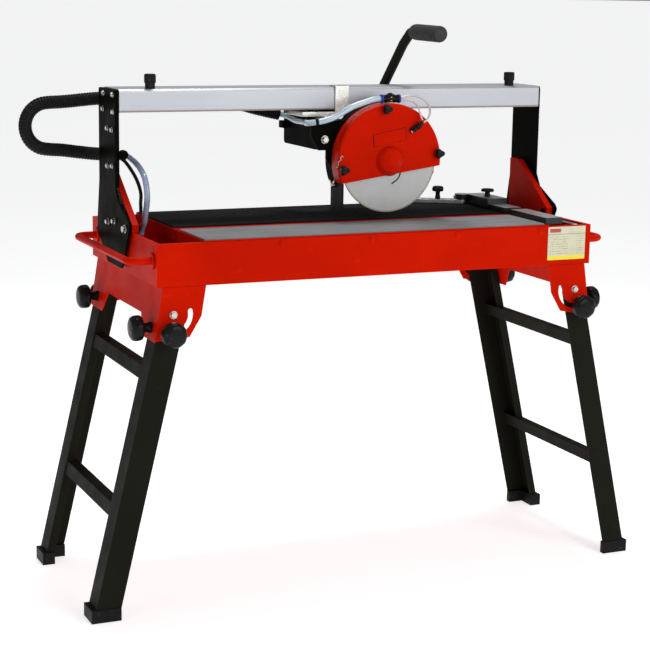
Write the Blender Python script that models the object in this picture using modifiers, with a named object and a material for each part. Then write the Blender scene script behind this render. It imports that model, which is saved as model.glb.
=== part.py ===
"""Wet tile saw: a beam carrying a sliding, plunging saw head over a water tray on folding legs.

Metres.  X runs along the tray, Y from the working side to the back, Z up from the floor.
"""
import math

import bmesh
import bpy
from mathutils import Matrix, Vector

GAP = 0.0003
SHEET = 0.002

TRAY_X = 0.439
TRAY_Y = 0.197
TRAY_BOTTOM = 0.599
TRAY_TOP = 0.675
TRAY_LIP = 0.008
WALL_LEFT = (-0.3495, -0.3475)
WALL_RIGHT = (0.3445, 0.3465)

PAN_X = (-0.352, 0.349)
PAN_TOP = 0.677
FRONT_PAN_Y = (-0.1955, -0.0485)
BACK_PAN_Y = (-0.0375, 0.196)
PAN_FOLD = 0.022
MAT_X = (-0.350, 0.338)
MAT_TOP = 0.680
FRONT_MAT_Y = (-0.192, -0.060)
BACK_MAT_Y = (-0.0247, 0.190)

BEVEL_Y = -0.043
BEVEL_Z = 0.682
LOCK_BOLTS = ((0.060, 0.6825), (0.022, 0.688))

POST_SHEET_X = {-1: (0.4450, 0.4480), 1: (0.4393, 0.4423)}
POST_INNER_X = TRAY_X + GAP
BEAM_Y = (0.016, 0.110)
BEAM_Z = (0.886, 0.928)
STOP_X = 0.3765
STOP_Y = 0.029

LEG_PIVOT = (0.409, 0.5495)
LEG_SLOPE = 0.2327
LEG_FOOT_X = 0.558
LEG_WIDTH = 0.046
LEG_Y = 0.193
LEG_SHEET = 0.0025
RUNG_Z = (0.441, 0.193)
KNOB_RADIUS = 0.023

HEAD_PIVOT = (-0.0475, 0.8324)
BLADE_CENTRE = (0.076, 0.793)
BLADE_Y = -0.043
BLADE_RADIUS = 0.100
GUARD_CENTRE = (0.0735, 0.793)
GUARD_RADIUS = 0.1085
GUARD_Y = (-0.058, -0.026)
HOUSING_BACK = 0.003

RED = (0.52, 0.014, 0.008)
BLACK = (0.016, 0.016, 0.017)
RUBBER = (0.16, 0.165, 0.17)
ALLOY = (0.55, 0.56, 0.62)
STEEL = (0.52, 0.50, 0.46)
CLEAR = (0.42, 0.62, 0.80)

for thing in list(bpy.data.objects):
    bpy.data.objects.remove(thing, do_unlink=True)

PARTS = bpy.data.collections.new("wet_tile_saw")
CUTTERS = bpy.data.collections.new("cutters")
for group in (PARTS, CUTTERS):
    bpy.context.scene.collection.children.link(group)


def shape(bm):
    """Keep a closed solid as a helper until a piece takes it."""
    bmesh.ops.recalc_face_normals(bm, faces=bm.faces)
    mesh = bpy.data.meshes.new("shape")
    bm.to_mesh(mesh)
    bm.free()
    solid = bpy.data.objects.new("shape", mesh)
    solid.hide_render = True
    solid.display_type = "WIRE"
    CUTTERS.objects.link(solid)
    return solid


def baked(source, matrix):
    """Turn a curve or a modified mesh into a plain welded solid."""
    CUTTERS.objects.link(source)
    graph = bpy.context.evaluated_depsgraph_get()
    mesh = bpy.data.meshes.new_from_object(source.evaluated_get(graph))
    bm = bmesh.new()
    bm.from_mesh(mesh)
    bmesh.ops.remove_doubles(bm, verts=bm.verts, dist=0.00001)
    bmesh.ops.transform(bm, matrix=matrix, verts=bm.verts)
    bpy.data.objects.remove(source, do_unlink=True)
    return shape(bm)


def block(lo, hi):
    bm = bmesh.new()
    bmesh.ops.create_cube(bm, size=1.0)
    for vert in bm.verts:
        vert.co = Vector([a + (c + 0.5) * (b - a) for a, b, c in zip(lo, hi, vert.co)])
    return shape(bm)


def side_block(side, near, far, y, z):
    """Box given on the right-hand side, mirrored to the left when side is -1."""
    x = sorted((side * near, side * far))
    return block((x[0], y[0], z[0]), (x[1], y[1], z[1]))


def rod(start, end, radius, sides=20, end_radius=None):
    start, end = Vector(start), Vector(end)
    turn = Vector((0, 0, 1)).rotation_difference(end - start).to_matrix().to_4x4()
    place = Matrix.Translation((start + end) / 2) @ turn
    last = radius if end_radius is None else end_radius
    bm = bmesh.new()
    bmesh.ops.create_cone(bm, cap_ends=True, segments=sides, radius1=radius,
                          radius2=last, depth=(end - start).length, matrix=place)
    return shape(bm)


PLANES = {
    "XY": Matrix(((1, 0, 0, 0), (0, 1, 0, 0), (0, 0, 1, 0), (0, 0, 0, 1))),
    "XZ": Matrix(((1, 0, 0, 0), (0, 0, -1, 0), (0, 1, 0, 0), (0, 0, 0, 1))),
    "YZ": Matrix(((0, 0, 1, 0), (1, 0, 0, 0), (0, 1, 0, 0), (0, 0, 0, 1))),
}
NORMALS = {"XY": Vector((0, 0, 1)), "XZ": Vector((0, 1, 0)), "YZ": Vector((1, 0, 0))}


def plate(outline, plane, lo, hi, holes=()):
    """Flat outline, with holes, given thickness from lo to hi across its plane."""
    curve = bpy.data.curves.new("outline", "CURVE")
    curve.dimensions = "2D"
    curve.fill_mode = "BOTH"
    curve.extrude = abs(hi - lo) / 2
    for loop in (outline, *holes):
        spline = curve.splines.new("POLY")
        spline.points.add(len(loop) - 1)
        for point, (a, b) in zip(spline.points, loop):
            point.co = (a, b, 0, 1)
        spline.use_cyclic_u = True
    place = Matrix.Translation(NORMALS[plane] * (lo + hi) / 2) @ PLANES[plane]
    return baked(bpy.data.objects.new("outline", curve), place)


def side_plate(side, outline, y_lo, y_hi, holes=()):
    """Outline in the XZ plane given on the right-hand side."""
    flip = [[(side * a, b) for a, b in loop] for loop in (outline, *holes)]
    return plate(flip[0], "XZ", y_lo, y_hi, flip[1:])


def tube(route, radius, detail=2):
    curve = bpy.data.curves.new("tube", "CURVE")
    curve.dimensions = "3D"
    curve.bevel_depth = radius
    curve.bevel_resolution = detail
    curve.use_fill_caps = True
    spline = curve.splines.new("POLY")
    spline.points.add(len(route) - 1)
    for point, place in zip(spline.points, route):
        point.co = (*place, 1)
    return baked(bpy.data.objects.new("tube", curve), Matrix.Identity(4))


def turned(profile, base, axis, steps=16):
    """Turned solid: (radius, height) from the top centre down the outer side."""
    mesh = bpy.data.meshes.new("profile")
    edges = [(i, i + 1) for i in range(len(profile) - 1)]
    mesh.from_pydata([(r, 0, h) for r, h in profile], edges, [])
    solid = bpy.data.objects.new("profile", mesh)
    screw = solid.modifiers.new("Turn", "SCREW")
    screw.steps = steps
    screw.render_steps = steps
    screw.use_merge_vertices = True
    screw.merge_threshold = 0.00001
    turn = Vector((0, 0, 1)).rotation_difference(Vector(axis)).to_matrix().to_4x4()
    return baked(solid, Matrix.Translation(base) @ turn)


def rounded(points, radius, steps=4, closed=False):
    """Replace the corners of a route or outline with arcs."""
    corners = [Vector(p) for p in points]
    result = []
    for i, corner in enumerate(corners):
        if not closed and i in (0, len(corners) - 1):
            result.append(corner)
            continue
        back = corners[i - 1] - corner
        ahead = corners[(i + 1) % len(corners)] - corner
        half = back.angle(ahead) / 2
        reach = min(radius / math.tan(half), 0.49 * back.length, 0.49 * ahead.length)
        middle = (back.normalized() + ahead.normalized()).normalized()
        centre = corner + middle * reach / math.cos(half)
        first = corner + back.normalized() * reach - centre
        last = corner + ahead.normalized() * reach - centre
        for step in range(steps + 1):
            arm = first.normalized().slerp(last.normalized(), step / steps)
            result.append(centre + arm * first.length)
    return result


def eased(points, per_leg=4):
    """Smooth route through the given points."""
    path = [Vector(p) for p in points]
    path = [2 * path[0] - path[1], *path, 2 * path[-1] - path[-2]]
    result = []
    for a, b, c, d in zip(path, path[1:], path[2:], path[3:]):
        for step in range(per_leg):
            t = step / per_leg
            bend = (c - a) * t + (2 * a - 5 * b + 4 * c - d) * t ** 2
            result.append(b + 0.5 * (bend + (3 * b - a - 3 * c + d) * t ** 3))
    return [*result, path[-2]]


def arc(centre, radius, first, last, steps):
    angles = [math.radians(first + (last - first) * i / steps) for i in range(steps + 1)]
    return [(centre[0] + radius * math.cos(a), centre[1] + radius * math.sin(a)) for a in angles]


def arc_slot(centre, radius, first, last, half):
    """Outline of a curved slot with round ends."""
    start = arc(centre, radius, first, first, 1)[0]
    end = arc(centre, radius, last, last, 1)[0]
    outer = arc(centre, radius + half, first, last, 12)
    inner = arc(centre, radius - half, last, first, 12)
    return outer + arc(end, half, last, last + 180, 6)[1:-1] + inner + \
        arc(start, half, first + 180, first + 360, 6)[1:-1]


def piece(name, body, colour, finish=(0.0, 0.5), add=(), cut=(), pivot=(0, 0, 0)):
    """Name a solid as one part, with its unions, cuts, origin and material."""
    CUTTERS.objects.unlink(body)
    PARTS.objects.link(body)
    body.name = name
    body.data.name = name
    body.hide_render = False
    body.display_type = "TEXTURED"
    body.data.transform(Matrix.Translation(-Vector(pivot)))
    body.location = pivot
    for operation, tools in (("UNION", add), ("DIFFERENCE", cut)):
        for tool in tools:
            boolean = body.modifiers.new(operation.title(), "BOOLEAN")
            boolean.operation = operation
            boolean.solver = "EXACT"
            boolean.object = tool
    surface = bpy.data.materials.new(name)
    surface.use_nodes = True
    shader = surface.node_tree.nodes["Principled BSDF"]
    shader.inputs["Base Color"].default_value = (*colour, 1)
    shader.inputs["Metallic"].default_value = finish[0]
    shader.inputs["Roughness"].default_value = finish[1]
    body.data.materials.append(surface)
    body.data.shade_smooth()
    body.data.set_sharp_from_angle(angle=math.radians(35))
    return body


def knob(base, axis, stud, neck, height, radius=KNOB_RADIUS, neck_radius=0.010, steps=16):
    """Round hand knob: stud, neck, then a domed head."""
    top = stud + neck + height
    profile = [(0, top), (0.62 * radius, top - 0.03 * radius), (0.92 * radius, top - 0.16 * radius),
               (radius, top - 0.32 * radius), (radius, stud + neck + 0.12 * radius),
               (0.92 * radius, stud + neck), (neck_radius, stud + neck), (neck_radius, stud)]
    if stud:
        profile += [(0.0035, stud), (0.0035, 0)]
    return turned([*profile, (0, profile[-1][1])], base, axis, steps)


# ---------------------------------------------------------------- water tray and table
def build_tray():
    spans = ((-TRAY_X + SHEET, WALL_LEFT[0]), (WALL_LEFT[1], WALL_RIGHT[0]), (WALL_RIGHT[1], TRAY_X - SHEET))
    inner_y = TRAY_Y - SHEET
    mouth_y = TRAY_Y - TRAY_LIP
    mouth_x = TRAY_X - TRAY_LIP
    cuts = []
    for x_lo, x_hi in spans:
        cuts.append(block((x_lo, -inner_y, TRAY_BOTTOM + SHEET), (x_hi, inner_y, TRAY_TOP - SHEET)))
        cuts.append(block((max(x_lo, -mouth_x), -mouth_y, TRAY_TOP - 2 * SHEET),
                          (min(x_hi, mouth_x), mouth_y, TRAY_TOP + 0.01)))
    cuts.append(block((-0.36, -0.06, TRAY_BOTTOM + SHEET), (0.36, 0.06, 0.630)))
    body = block((-TRAY_X, -TRAY_Y, TRAY_BOTTOM), (TRAY_X, TRAY_Y, TRAY_TOP))
    piece("tray", body, RED, (0.0, 0.38), cut=cuts)


def build_pan(name, y, slot_edge):
    low = PAN_TOP - PAN_FOLD
    inner = [min(max(v, -TRAY_Y + TRAY_LIP + 0.0005), TRAY_Y - TRAY_LIP - 0.0005) for v in y]
    folds = [block((PAN_X[0], inner[0], low), (PAN_X[0] + SHEET, inner[1], PAN_TOP)),
             block((PAN_X[1] - SHEET, inner[0], low), (PAN_X[1], inner[1], PAN_TOP)),
             block((WALL_LEFT[1] + SHEET, min(slot_edge), low), (WALL_RIGHT[0] - SHEET, max(slot_edge), PAN_TOP))]
    body = block((PAN_X[0], y[0], TRAY_TOP + GAP), (PAN_X[1], y[1], PAN_TOP))
    piece(name, body, RED, (0.0, 0.38), add=folds)


def build_table():
    build_pan("front_pan", FRONT_PAN_Y, (FRONT_PAN_Y[1] - SHEET, FRONT_PAN_Y[1]))
    build_pan("back_pan", BACK_PAN_Y, (BACK_PAN_Y[0], BACK_PAN_Y[0] + SHEET))
    for name, y in (("front_mat", FRONT_MAT_Y), ("back_mat", BACK_MAT_Y)):
        mat = block((MAT_X[0], y[0], PAN_TOP + GAP), (MAT_X[1], y[1], MAT_TOP))
        piece(name, mat, RUBBER, (0.0, 0.85))


def build_tray_fittings():
    pump = block((-0.420, -0.038, TRAY_BOTTOM + SHEET + GAP), (-0.368, 0.034, 0.644))
    spout = rod((-0.400, 0.012, 0.640), (-0.400, 0.012, 0.660), 0.0065, 16)
    piece("pump", pump, BLACK, (0.0, 0.5), add=[spout])
    box = block((-0.375, TRAY_Y + GAP, 0.600), (-0.300, 0.2345, 0.664))
    gland = rod((-0.3357, 0.2145, 0.660), (-0.3357, 0.2145, 0.676), 0.009, 16)
    inlet = rod((-0.320, 0.215, 0.590), (-0.320, 0.215, 0.604), 0.009, 16)
    well = block((-0.380, 0.2040, 0.6195), (-0.3718, 0.2265, 0.6465))
    piece("switch_box", box, BLACK, (0.0, 0.45), add=[gland, inlet], cut=[well])
    rocker_pivot = (-0.3735, 0.21525, 0.633)
    outline = [(-0.3776, 0.6205), (-0.3758, 0.6330), (-0.3776, 0.6455), (-0.3752, 0.6455), (-0.3728, 0.6330),
               (-0.3752, 0.6205)]
    piece("switch_rocker", plate(outline, "XZ", 0.2050, 0.2255), RED, (0.0, 0.4), pivot=rocker_pivot)


def build_carry_handle(side, name):
    z = 0.643
    out = side * 0.481
    wall = side * (TRAY_X + GAP)
    route = rounded([(wall, 0.165, z), (out, 0.165, z), (out, -0.173, z), (wall, -0.173, z)], 0.030, 5)
    feet = [rod((wall, y, z), (wall + side * 0.003, y, z), 0.015, 16) for y in (0.165, -0.173)]
    piece(name, tube(route, 0.0070, 2), RED, (0.0, 0.35), add=feet)


def build_gusset(side, name):
    """Folded sheet inside each tray end that carries the bevel pivot."""
    floor = TRAY_BOTTOM + SHEET + GAP
    rim = TRAY_TOP + GAP
    edge = [(0.098, 0.776), (0.066, 0.776), (-0.055, 0.690)]
    hole = arc((BEVEL_Y, BEVEL_Z), 0.0050, 0, 337.5, 15)
    web = plate([(0.098, floor), *edge, (-0.055, floor)], "YZ", *sorted((side * 0.4262, side * 0.4282)), [hole])
    inside = [(-0.055, rim), (-0.053, rim), (-0.053, 0.6889), (0.0667, 0.774), (0.098, 0.774)]
    fold = plate([*edge, *inside], "YZ", *sorted((side * 0.4270, side * 0.4385)))
    piece(name, web, RED, (0.0, 0.38), add=[fold])


# ---------------------------------------------------------------- folding legs
def leg_line(z, inset):
    """X of a line running down the leg, inset from the outer face."""
    return LEG_FOOT_X - LEG_SLOPE * z - inset * math.sqrt(1 + LEG_SLOPE ** 2)


def leg_strip(inset_out, inset_in, z_lo, z_hi):
    return [(leg_line(z_lo, inset_out), z_lo), (leg_line(z_hi, inset_out), z_hi),
            (leg_line(z_hi, inset_in), z_hi), (leg_line(z_lo, inset_in), z_lo)]


def build_leg_frame(side, name, feet):
    pivot_x, pivot_z = LEG_PIVOT
    tilt = math.degrees(math.atan(LEG_SLOPE))
    crown = arc(LEG_PIVOT, LEG_WIDTH / 2, tilt + 25, tilt + 165, 10)
    outline = [(leg_line(0.003, 0), 0.003), (leg_line(0.542, 0), 0.542), *crown,
               (leg_line(0.545, LEG_WIDTH), 0.545), (leg_line(0.003, LEG_WIDTH), 0.003)]
    hole = arc(LEG_PIVOT, 0.0046, 0, 330, 11)
    solids = []
    for end in (-1, 1):
        face = end * LEG_Y
        back = end * (LEG_Y - LEG_SHEET)
        deep = end * (LEG_Y - LEG_WIDTH)
        lip = end * (LEG_Y - LEG_WIDTH + LEG_SHEET)
        solids.append(side_plate(side, outline, min(face, back), max(face, back), [hole]))
        web = leg_strip(0, LEG_SHEET, 0.003, 0.531)
        solids.append(side_plate(side, web, min(face, deep), max(face, deep)))
        edge = leg_strip(0, 0.016, 0.003, 0.527)
        solids.append(side_plate(side, edge, min(lip, deep), max(lip, deep)))
    for z in RUNG_Z:
        bar = leg_strip(LEG_SHEET - 0.0005, LEG_SHEET + 0.020, z - 0.012, z + 0.012)
        solids.append(side_plate(side, bar, -LEG_Y + 0.001, LEG_Y - 0.001))
    frame = solids[0]
    pivot = (side * pivot_x, 0, pivot_z)
    piece(name, frame, BLACK, (0.0, 0.5), add=solids[1:], pivot=pivot)
    for end, foot in zip((-1, 1), feet):
        build_foot(side, end, foot, pivot)


def build_foot(side, end, name, pivot):
    outer = sorted((side * 0.561, side * 0.537))
    wide = sorted((side * 0.561, side * 0.506))
    arm = sorted((end * 0.195, end * 0.143))
    toe = sorted((end * 0.195, end * 0.183))
    body = block((outer[0], arm[0], 0), (outer[1], arm[1], 0.024))
    front = block((wide[0], toe[0], 0), (wide[1], toe[1], 0.024))
    cuts = []
    for inset_out, inset_in, y_out, y_in in (
            (-GAP, LEG_WIDTH + GAP, LEG_Y + GAP, LEG_Y - LEG_SHEET - GAP),
            (-GAP, LEG_SHEET + GAP, LEG_Y + GAP, LEG_Y - LEG_WIDTH - GAP),
            (-GAP, 0.016 + GAP, LEG_Y - LEG_WIDTH + LEG_SHEET + GAP, LEG_Y - LEG_WIDTH - GAP)):
        strip = leg_strip(inset_out, inset_in, 0.003 - GAP, 0.030)
        y = sorted((end * y_out, end * y_in))
        cuts.append(side_plate(side, strip, y[0], y[1]))
    piece(name, body, BLACK, (0.0, 0.7), add=[front], cut=cuts, pivot=pivot)


def build_leg_bracket(side, name):
    """Folded sheet under the tray end holding the two leg pivots."""
    outline = [(0.4265, 0.5985), (0.3485, 0.5985), (0.357, 0.545), (0.379, 0.5085), (0.410, 0.5035), (0.442, 0.5045)]
    slot = arc_slot(LEG_PIVOT, 0.0318, -190, -68, 0.0046)
    solids = []
    for end in (-1, 1):
        y = sorted((end * TRAY_Y, end * (TRAY_Y - SHEET)))
        solids.append(side_plate(side, outline, y[0], y[1], [slot]))
        x, z = side * LEG_PIVOT[0], LEG_PIVOT[1]
        solids.append(rod((x, end * 0.186, z), (x, end * 0.2005, z), 0.004, 12))
        solids.append(rod((x, end * (TRAY_Y - 0.0005), z), (x, end * 0.2015, z), 0.0057, 6))
        solids.append(rod((x, end * 0.1855, z), (x, end * 0.1898, z), 0.0080, 6))
    flank = [(0.4285, 0.5985), (0.4437, 0.502), (0.4417, 0.502), (0.4265, 0.5985)]
    solids.append(side_plate(side, flank, -TRAY_Y, TRAY_Y))
    solids.append(side_block(side, 0.3485, 0.4275, (-TRAY_Y, TRAY_Y), (0.5965, 0.5985)))
    window = plate([(-0.125, 0.49), (-0.125, 0.502), (-0.102, 0.540), (0.102, 0.540), (0.125, 0.502), (0.125, 0.49)],
                   "YZ", min(side * 0.42, side * 0.46), max(side * 0.42, side * 0.46))
    holes = [rod((side * 0.42, y, 0.524), (side * 0.46, y, 0.524), 0.0045, 12) for y in (-0.165, 0.165)]
    piece(name, solids[0], RED, (0.0, 0.38), add=solids[1:], cut=[window, *holes])


def build_leg_knobs(side, label):
    x, z = side * 0.416, 0.5185
    for end, where in ((-1, "front"), (1, "back")):
        base = (x, end * 0.1933, z)
        head = knob(base, (0, end, 0), 0.0042, 0.0165, 0.0210)
        piece(f"face_knob_{label}_{where}", head, BLACK, (0.0, 0.45), pivot=base)
        base = (side * 0.4385, end * 0.165, 0.524)
        head = knob(base, (side, 0, 0), 0.0038, 0.0175, 0.0200)
        piece(f"side_knob_{label}_{where}", head, BLACK, (0.0, 0.45), pivot=base)


# ---------------------------------------------------------------- beam and its posts
def build_beam():
    y0, y1 = BEAM_Y
    z0, z1 = BEAM_Z
    outline = rounded([(y0, z0), (y1, z0), (y1, z1), (y0 + 0.004, z1), (y0, z1 - 0.004)], 0.0015, 2, closed=True)
    rooms = ((y0 + 0.006, y1 - 0.003, 0.909, z1 - 0.003), (y0 + 0.003, 0.041, z0 + 0.003, 0.906),
             (0.085, y1 - 0.003, z0 + 0.003, 0.906), (0.044, 0.082, z0 + 0.003, 0.906),
             (0.056, 0.070, z0 - 0.01, z0 + 0.004))
    cuts = [block((-0.45, low, bottom), (0.45, high, top)) for low, high, bottom, top in rooms]
    body = plate([tuple(p) for p in outline], "YZ", -TRAY_X, TRAY_X)
    piece("beam", body, ALLOY, (1.0, 0.35), cut=cuts, pivot=(0, BEVEL_Y, BEVEL_Z))


def build_post(side, name):
    """Flared sheet, doubled up along the beam, with its pivot bolt and the heads of the clamping bolts."""
    outline = [(0.016, 0.927), (0.016, 0.752), (0.001, 0.7275), (-0.040, 0.707), (-0.060, 0.6975), (-0.068, 0.689),
               (-0.0595, 0.673), (-0.0385, 0.6325), (-0.028, 0.615), (-0.0175, 0.606), (0.067, 0.607), (0.088, 0.626),
               (0.131, 0.655), (0.130, 0.686), (0.117, 0.756), (0.117, 0.927)]
    outline = [tuple(p) for p in rounded(outline, 0.006, 2, closed=True)]
    near, far = POST_SHEET_X[side]
    sheet = plate(outline, "YZ", *sorted((side * near, side * far)))
    face = far - 0.0005
    added = [side_block(side, POST_INNER_X, face, (0.0165, 0.1165), (0.750, 0.9265))]
    heads = ((0.083, 0.918), (0.026, 0.918), (0.088, 0.889), (0.025, 0.887), (0.061, 0.855), (0.061, 0.786),
             (0.032, 0.854), (0.032, 0.788))
    added += [rod((side * face, y, z), (side * (far + 0.0035), y, z), 0.0040, 6) for y, z in heads]
    added += [rod((side * face, y, z), (side * (far + 0.0055), y, z), 0.0045, 6) for y, z in LOCK_BOLTS]
    y, z = BEVEL_Y, BEVEL_Z
    added.append(rod((side * face, y, z), (side * (far + 0.0055), y, z), 0.0062, 6))
    added.append(rod((side * 0.4200, y, z), (side * (far + 0.0020), y, z), 0.0040, 12))
    added.append(rod((side * 0.4220, y, z), (side * 0.4259, y, z), 0.0065, 6))
    added.append(rod((side * 0.4286, y, z), (side * (near + 0.0005), y, z), 0.0062, 16))
    if side < 0:
        added.append(rod((-0.4325, 0.0120, 0.8095), (-0.4325, 0.0200, 0.8095), 0.0090, 16))
        added.append(rod((-0.4325, 0.0095, 0.8095), (-0.4325, 0.0130, 0.8095), 0.0042, 6))
    piece(name, sheet, BLACK, (0.0, 0.5), add=added, pivot=(0, BEVEL_Y, BEVEL_Z))


def build_stop_knob(side, name):
    base = (side * STOP_X, STOP_Y, BEAM_Z[1] + GAP)
    profile = [(0, 0.0267), (0.0090, 0.0267), (0.0108, 0.0250), (0.0108, 0.0110), (0.0092, 0.0095), (0.0092, 0), (0, 0)]
    piece(name, turned(profile, base, (0, 0, 1)), BLACK, (0.0, 0.5), pivot=base)


# ---------------------------------------------------------------- carriage under the beam
def build_carriage():
    x0, x1 = -0.080, 0.162
    z0, z1 = 0.8735, 0.8825
    bed = block((x0, 0.0125, z0), (x1, 0.106, z1))
    solids = [block((0.128, 0.100, z0), (x1, 0.152, z1)),
              block((-0.060, 0.0590, z1 - 0.001), (0.110, 0.0670, 0.8920)),
              block((-0.060, 0.0465, BEAM_Z[0] + 0.003 + GAP), (0.110, 0.0795, 0.9020)),
              block((-0.012, 0.0125, z0), (0.0165, 0.0155, BEAM_Z[1] + 0.0035)),
              block((-0.012, 0.0125, BEAM_Z[1] + GAP), (0.0165, 0.0420, BEAM_Z[1] + 0.0035))]
    piece("carriage", bed, STEEL, (1.0, 0.4), add=solids)


def build_pivot_housing():
    px, pz = HEAD_PIVOT
    side = [(-0.012, 0.8125), (0.1515, 0.8125), (0.1515, 0.8620), (0.1400, 0.8732), (-0.012, 0.8732)]
    side = [tuple(p) for p in rounded(side, 0.008, 3, closed=True)]
    body = plate(side, "YZ", -0.060, -0.034)
    bore = rod((px, -0.02, pz), (px, 0.16, pz), 0.0065, 16)
    relief = block((-0.0380, -0.020, 0.800), (-0.030, 0.0045, 0.8225))
    piece("pivot_housing", body, BLACK, (0.0, 0.5), cut=[bore, relief])


def build_cable_clamp():
    """Clamp on the pivot housing under the moving end of the cable sleeve."""
    jaw = block((-0.0715, 0.1300, 0.8430), (-0.0603, 0.1500, 0.8570))
    piece("cable_clamp", jaw, BLACK, (0.0, 0.5))


HANDLE_X = 0.1455
GRIP_START = (HANDLE_X, -0.004, 1.0340)
GRIP_END = (HANDLE_X, -0.112, 1.0325)


def build_handle():
    route = [(HANDLE_X, 0.1375, 0.8828), (HANDLE_X, 0.1375, 0.9150), (HANDLE_X, 0.0440, 1.0090),
             (HANDLE_X, 0.0100, 1.0342), GRIP_START]
    piece("handle_tube", tube(rounded(route, 0.022, 4), 0.0095, 2), BLACK, (0.0, 0.4))
    along = (Vector(GRIP_END) - Vector(GRIP_START)).normalized()
    length = (Vector(GRIP_END) - Vector(GRIP_START)).length
    profile = [(0, length), (0.0120, length), (0.0148, length - 0.003), (0.0155, length - 0.008), (0.0155, 0.006),
               (0.0140, 0.0015), (0.0120, GAP), (0, GAP)]
    piece("handle_grip", turned(profile, GRIP_START, along, 20), BLACK, (0.0, 0.8))


# ---------------------------------------------------------------- plunging saw head
def guard_outline(radius):
    """Round guard cut off along its sloping lower edge."""
    left = Vector((-0.0203, 0.7528))
    right = Vector((0.1838, 0.7825))
    centre = Vector(GUARD_CENTRE)
    edge = (right - left).normalized()
    offset = (left - centre).dot(Vector((edge.y, -edge.x)))
    half = math.degrees(math.acos(offset / radius))
    down = math.degrees(math.atan2(-edge.x, edge.y))
    return arc(GUARD_CENTRE, radius, down + half, down + 360 - half, 40)


def build_guard():
    pivot = (HEAD_PIVOT[0], 0, HEAD_PIVOT[1])
    front, back = GUARD_Y
    outer = guard_outline(GUARD_RADIUS)
    room = arc(GUARD_CENTRE, GUARD_RADIUS - 0.0025, 0, 351, 39)
    cover = plate(outer, "XZ", front, back - GAP)
    hollow = plate(room, "XZ", front + 0.0025, back + 0.01)
    dome = turned([(0, 0.0085), (0.007, 0.0085), (0.014, 0.0076), (0.021, 0.0050), (0.027, 0.0), (0.027, -0.001),
                   (0, -0.001)], (0.072, front, 0.793), (0, -1, 0), 24)
    tail = plate([(0.152, 0.776), (0.1800, 0.7850), (0.1815, 0.7660), (0.176, 0.7564), (0.162, 0.7660)],
                 "XZ", -0.0310, back - GAP)
    label = plate([(0.035, 0.843), (0.1046, 0.8565), (0.1064, 0.833), (0.038, 0.819)], "XZ", front - 0.0012,
                  front + 0.001)
    piece("guard_cover", cover, RED, (0.0, 0.3), add=[dome, tail, label], cut=[hollow], pivot=pivot)

    shell = plate(outer, "XZ", back, HOUSING_BACK)
    room_back = plate(room, "XZ", back - 0.01, HOUSING_BACK - 0.004)
    arm = plate([(-0.0757, 0.8660), (-0.0730, 0.8687), (-0.0013, 0.8687), (0.012, 0.845), (-0.010, 0.780),
                 (-0.034, 0.780), (-0.043, 0.796), (-0.043, 0.8125), (-0.059, 0.8125), (-0.0757, 0.838)],
                "XZ", -0.022, -0.014)
    link = block((-0.024, -0.018, 0.8250), (0.060, 0.120, 0.8600))
    px, pz = HEAD_PIVOT
    pin = rod((px, -0.026, pz), (px, 0.1550, pz), 0.0060, 16)
    pin_head = rod((px, -0.0275, pz), (px, -0.0215, pz), 0.0063, 6)
    shaft_hole = rod((BLADE_CENTRE[0], -0.02, BLADE_CENTRE[1]), (BLADE_CENTRE[0], 0.02, BLADE_CENTRE[1]), 0.0085, 16)
    socket = rod((BLADE_CENTRE[0], HOUSING_BACK + 0.0003, BLADE_CENTRE[1]),
                 (BLADE_CENTRE[0], 0.15, BLADE_CENTRE[1]), 0.0453, 32)
    piece("head_housing", shell, BLACK, (0.0, 0.5), add=[arm, link, pin, pin_head],
          cut=[room_back, shaft_hole, socket], pivot=pivot)

    x, z = BLADE_CENTRE
    motor = turned([(0, 0.138), (0.030, 0.138), (0.042, 0.132), (0.045, 0.124), (0.045, 0.004), (0.043, 0.0015),
                    (0.020, 0.0010), (0, 0.0010)], (x, HOUSING_BACK, z), (0, 1, 0), 28)
    piece("motor", motor, BLACK, (0.0, 0.45), pivot=pivot)

    places = ((0.0604, 0.8916), (-0.0265, 0.7785), (0.1738, 0.8054))
    for number, (kx, kz) in enumerate(places, 1):
        base = (kx, front - GAP, kz)
        head = knob(base, (0, -1, 0), 0, 0.0035, 0.0125, 0.0105, 0.0055, 12)
        piece(f"guard_knob_{number}", head, BLACK, (0.0, 0.45), pivot=base)

    flap = block((-0.0245, -0.055, 0.6945), (-0.0215, 0.000, 0.7515))
    piece("splash_flap", flap, BLACK, (0.0, 0.8), pivot=pivot)
    valve = rod((0.062, -0.041, 0.9095), (0.094, -0.041, 0.9095), 0.0068, 16)
    ends = [rod((0.058, -0.041, 0.9095), (0.0625, -0.041, 0.9095), 0.0076, 16),
            rod((0.0935, -0.041, 0.9095), (0.098, -0.041, 0.9095), 0.0076, 16),
            block((0.072, -0.045, 0.914), (0.084, -0.037, 0.9205))]
    piece("water_valve", valve, BLACK, (0.0, 0.4), add=ends, pivot=pivot)


def build_blade():
    x, z = BLADE_CENTRE
    centre = (x, BLADE_Y, z)
    core, rim, bore = 0.0009, 0.0012, 0.0085
    disc = turned([(bore, core), (0.092, core), (0.0925, rim), (BLADE_RADIUS, rim), (BLADE_RADIUS, -rim),
                   (0.0925, -rim), (0.092, -core), (bore, -core), (bore, core)], centre, (0, -1, 0), 48)
    piece("blade", disc, STEEL, (1.0, 0.3), pivot=centre)
    profile = [(0, 0.0100), (0.0075, 0.0100), (0.0075, 0.0078), (0.0120, 0.0078), (0.0120, 0.0050), (0.0220, 0.0042),
               (0.0220, 0.0013), (0.0080, 0.0013), (0.0080, -0.0013), (0.0220, -0.0013), (0.0220, -0.0045),
               (0.0078, -0.0060), (0.0078, -0.0455), (0, -0.0455)]
    piece("arbor", turned(profile, centre, (0, -1, 0), 20), STEEL, (1.0, 0.35), pivot=centre)


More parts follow.
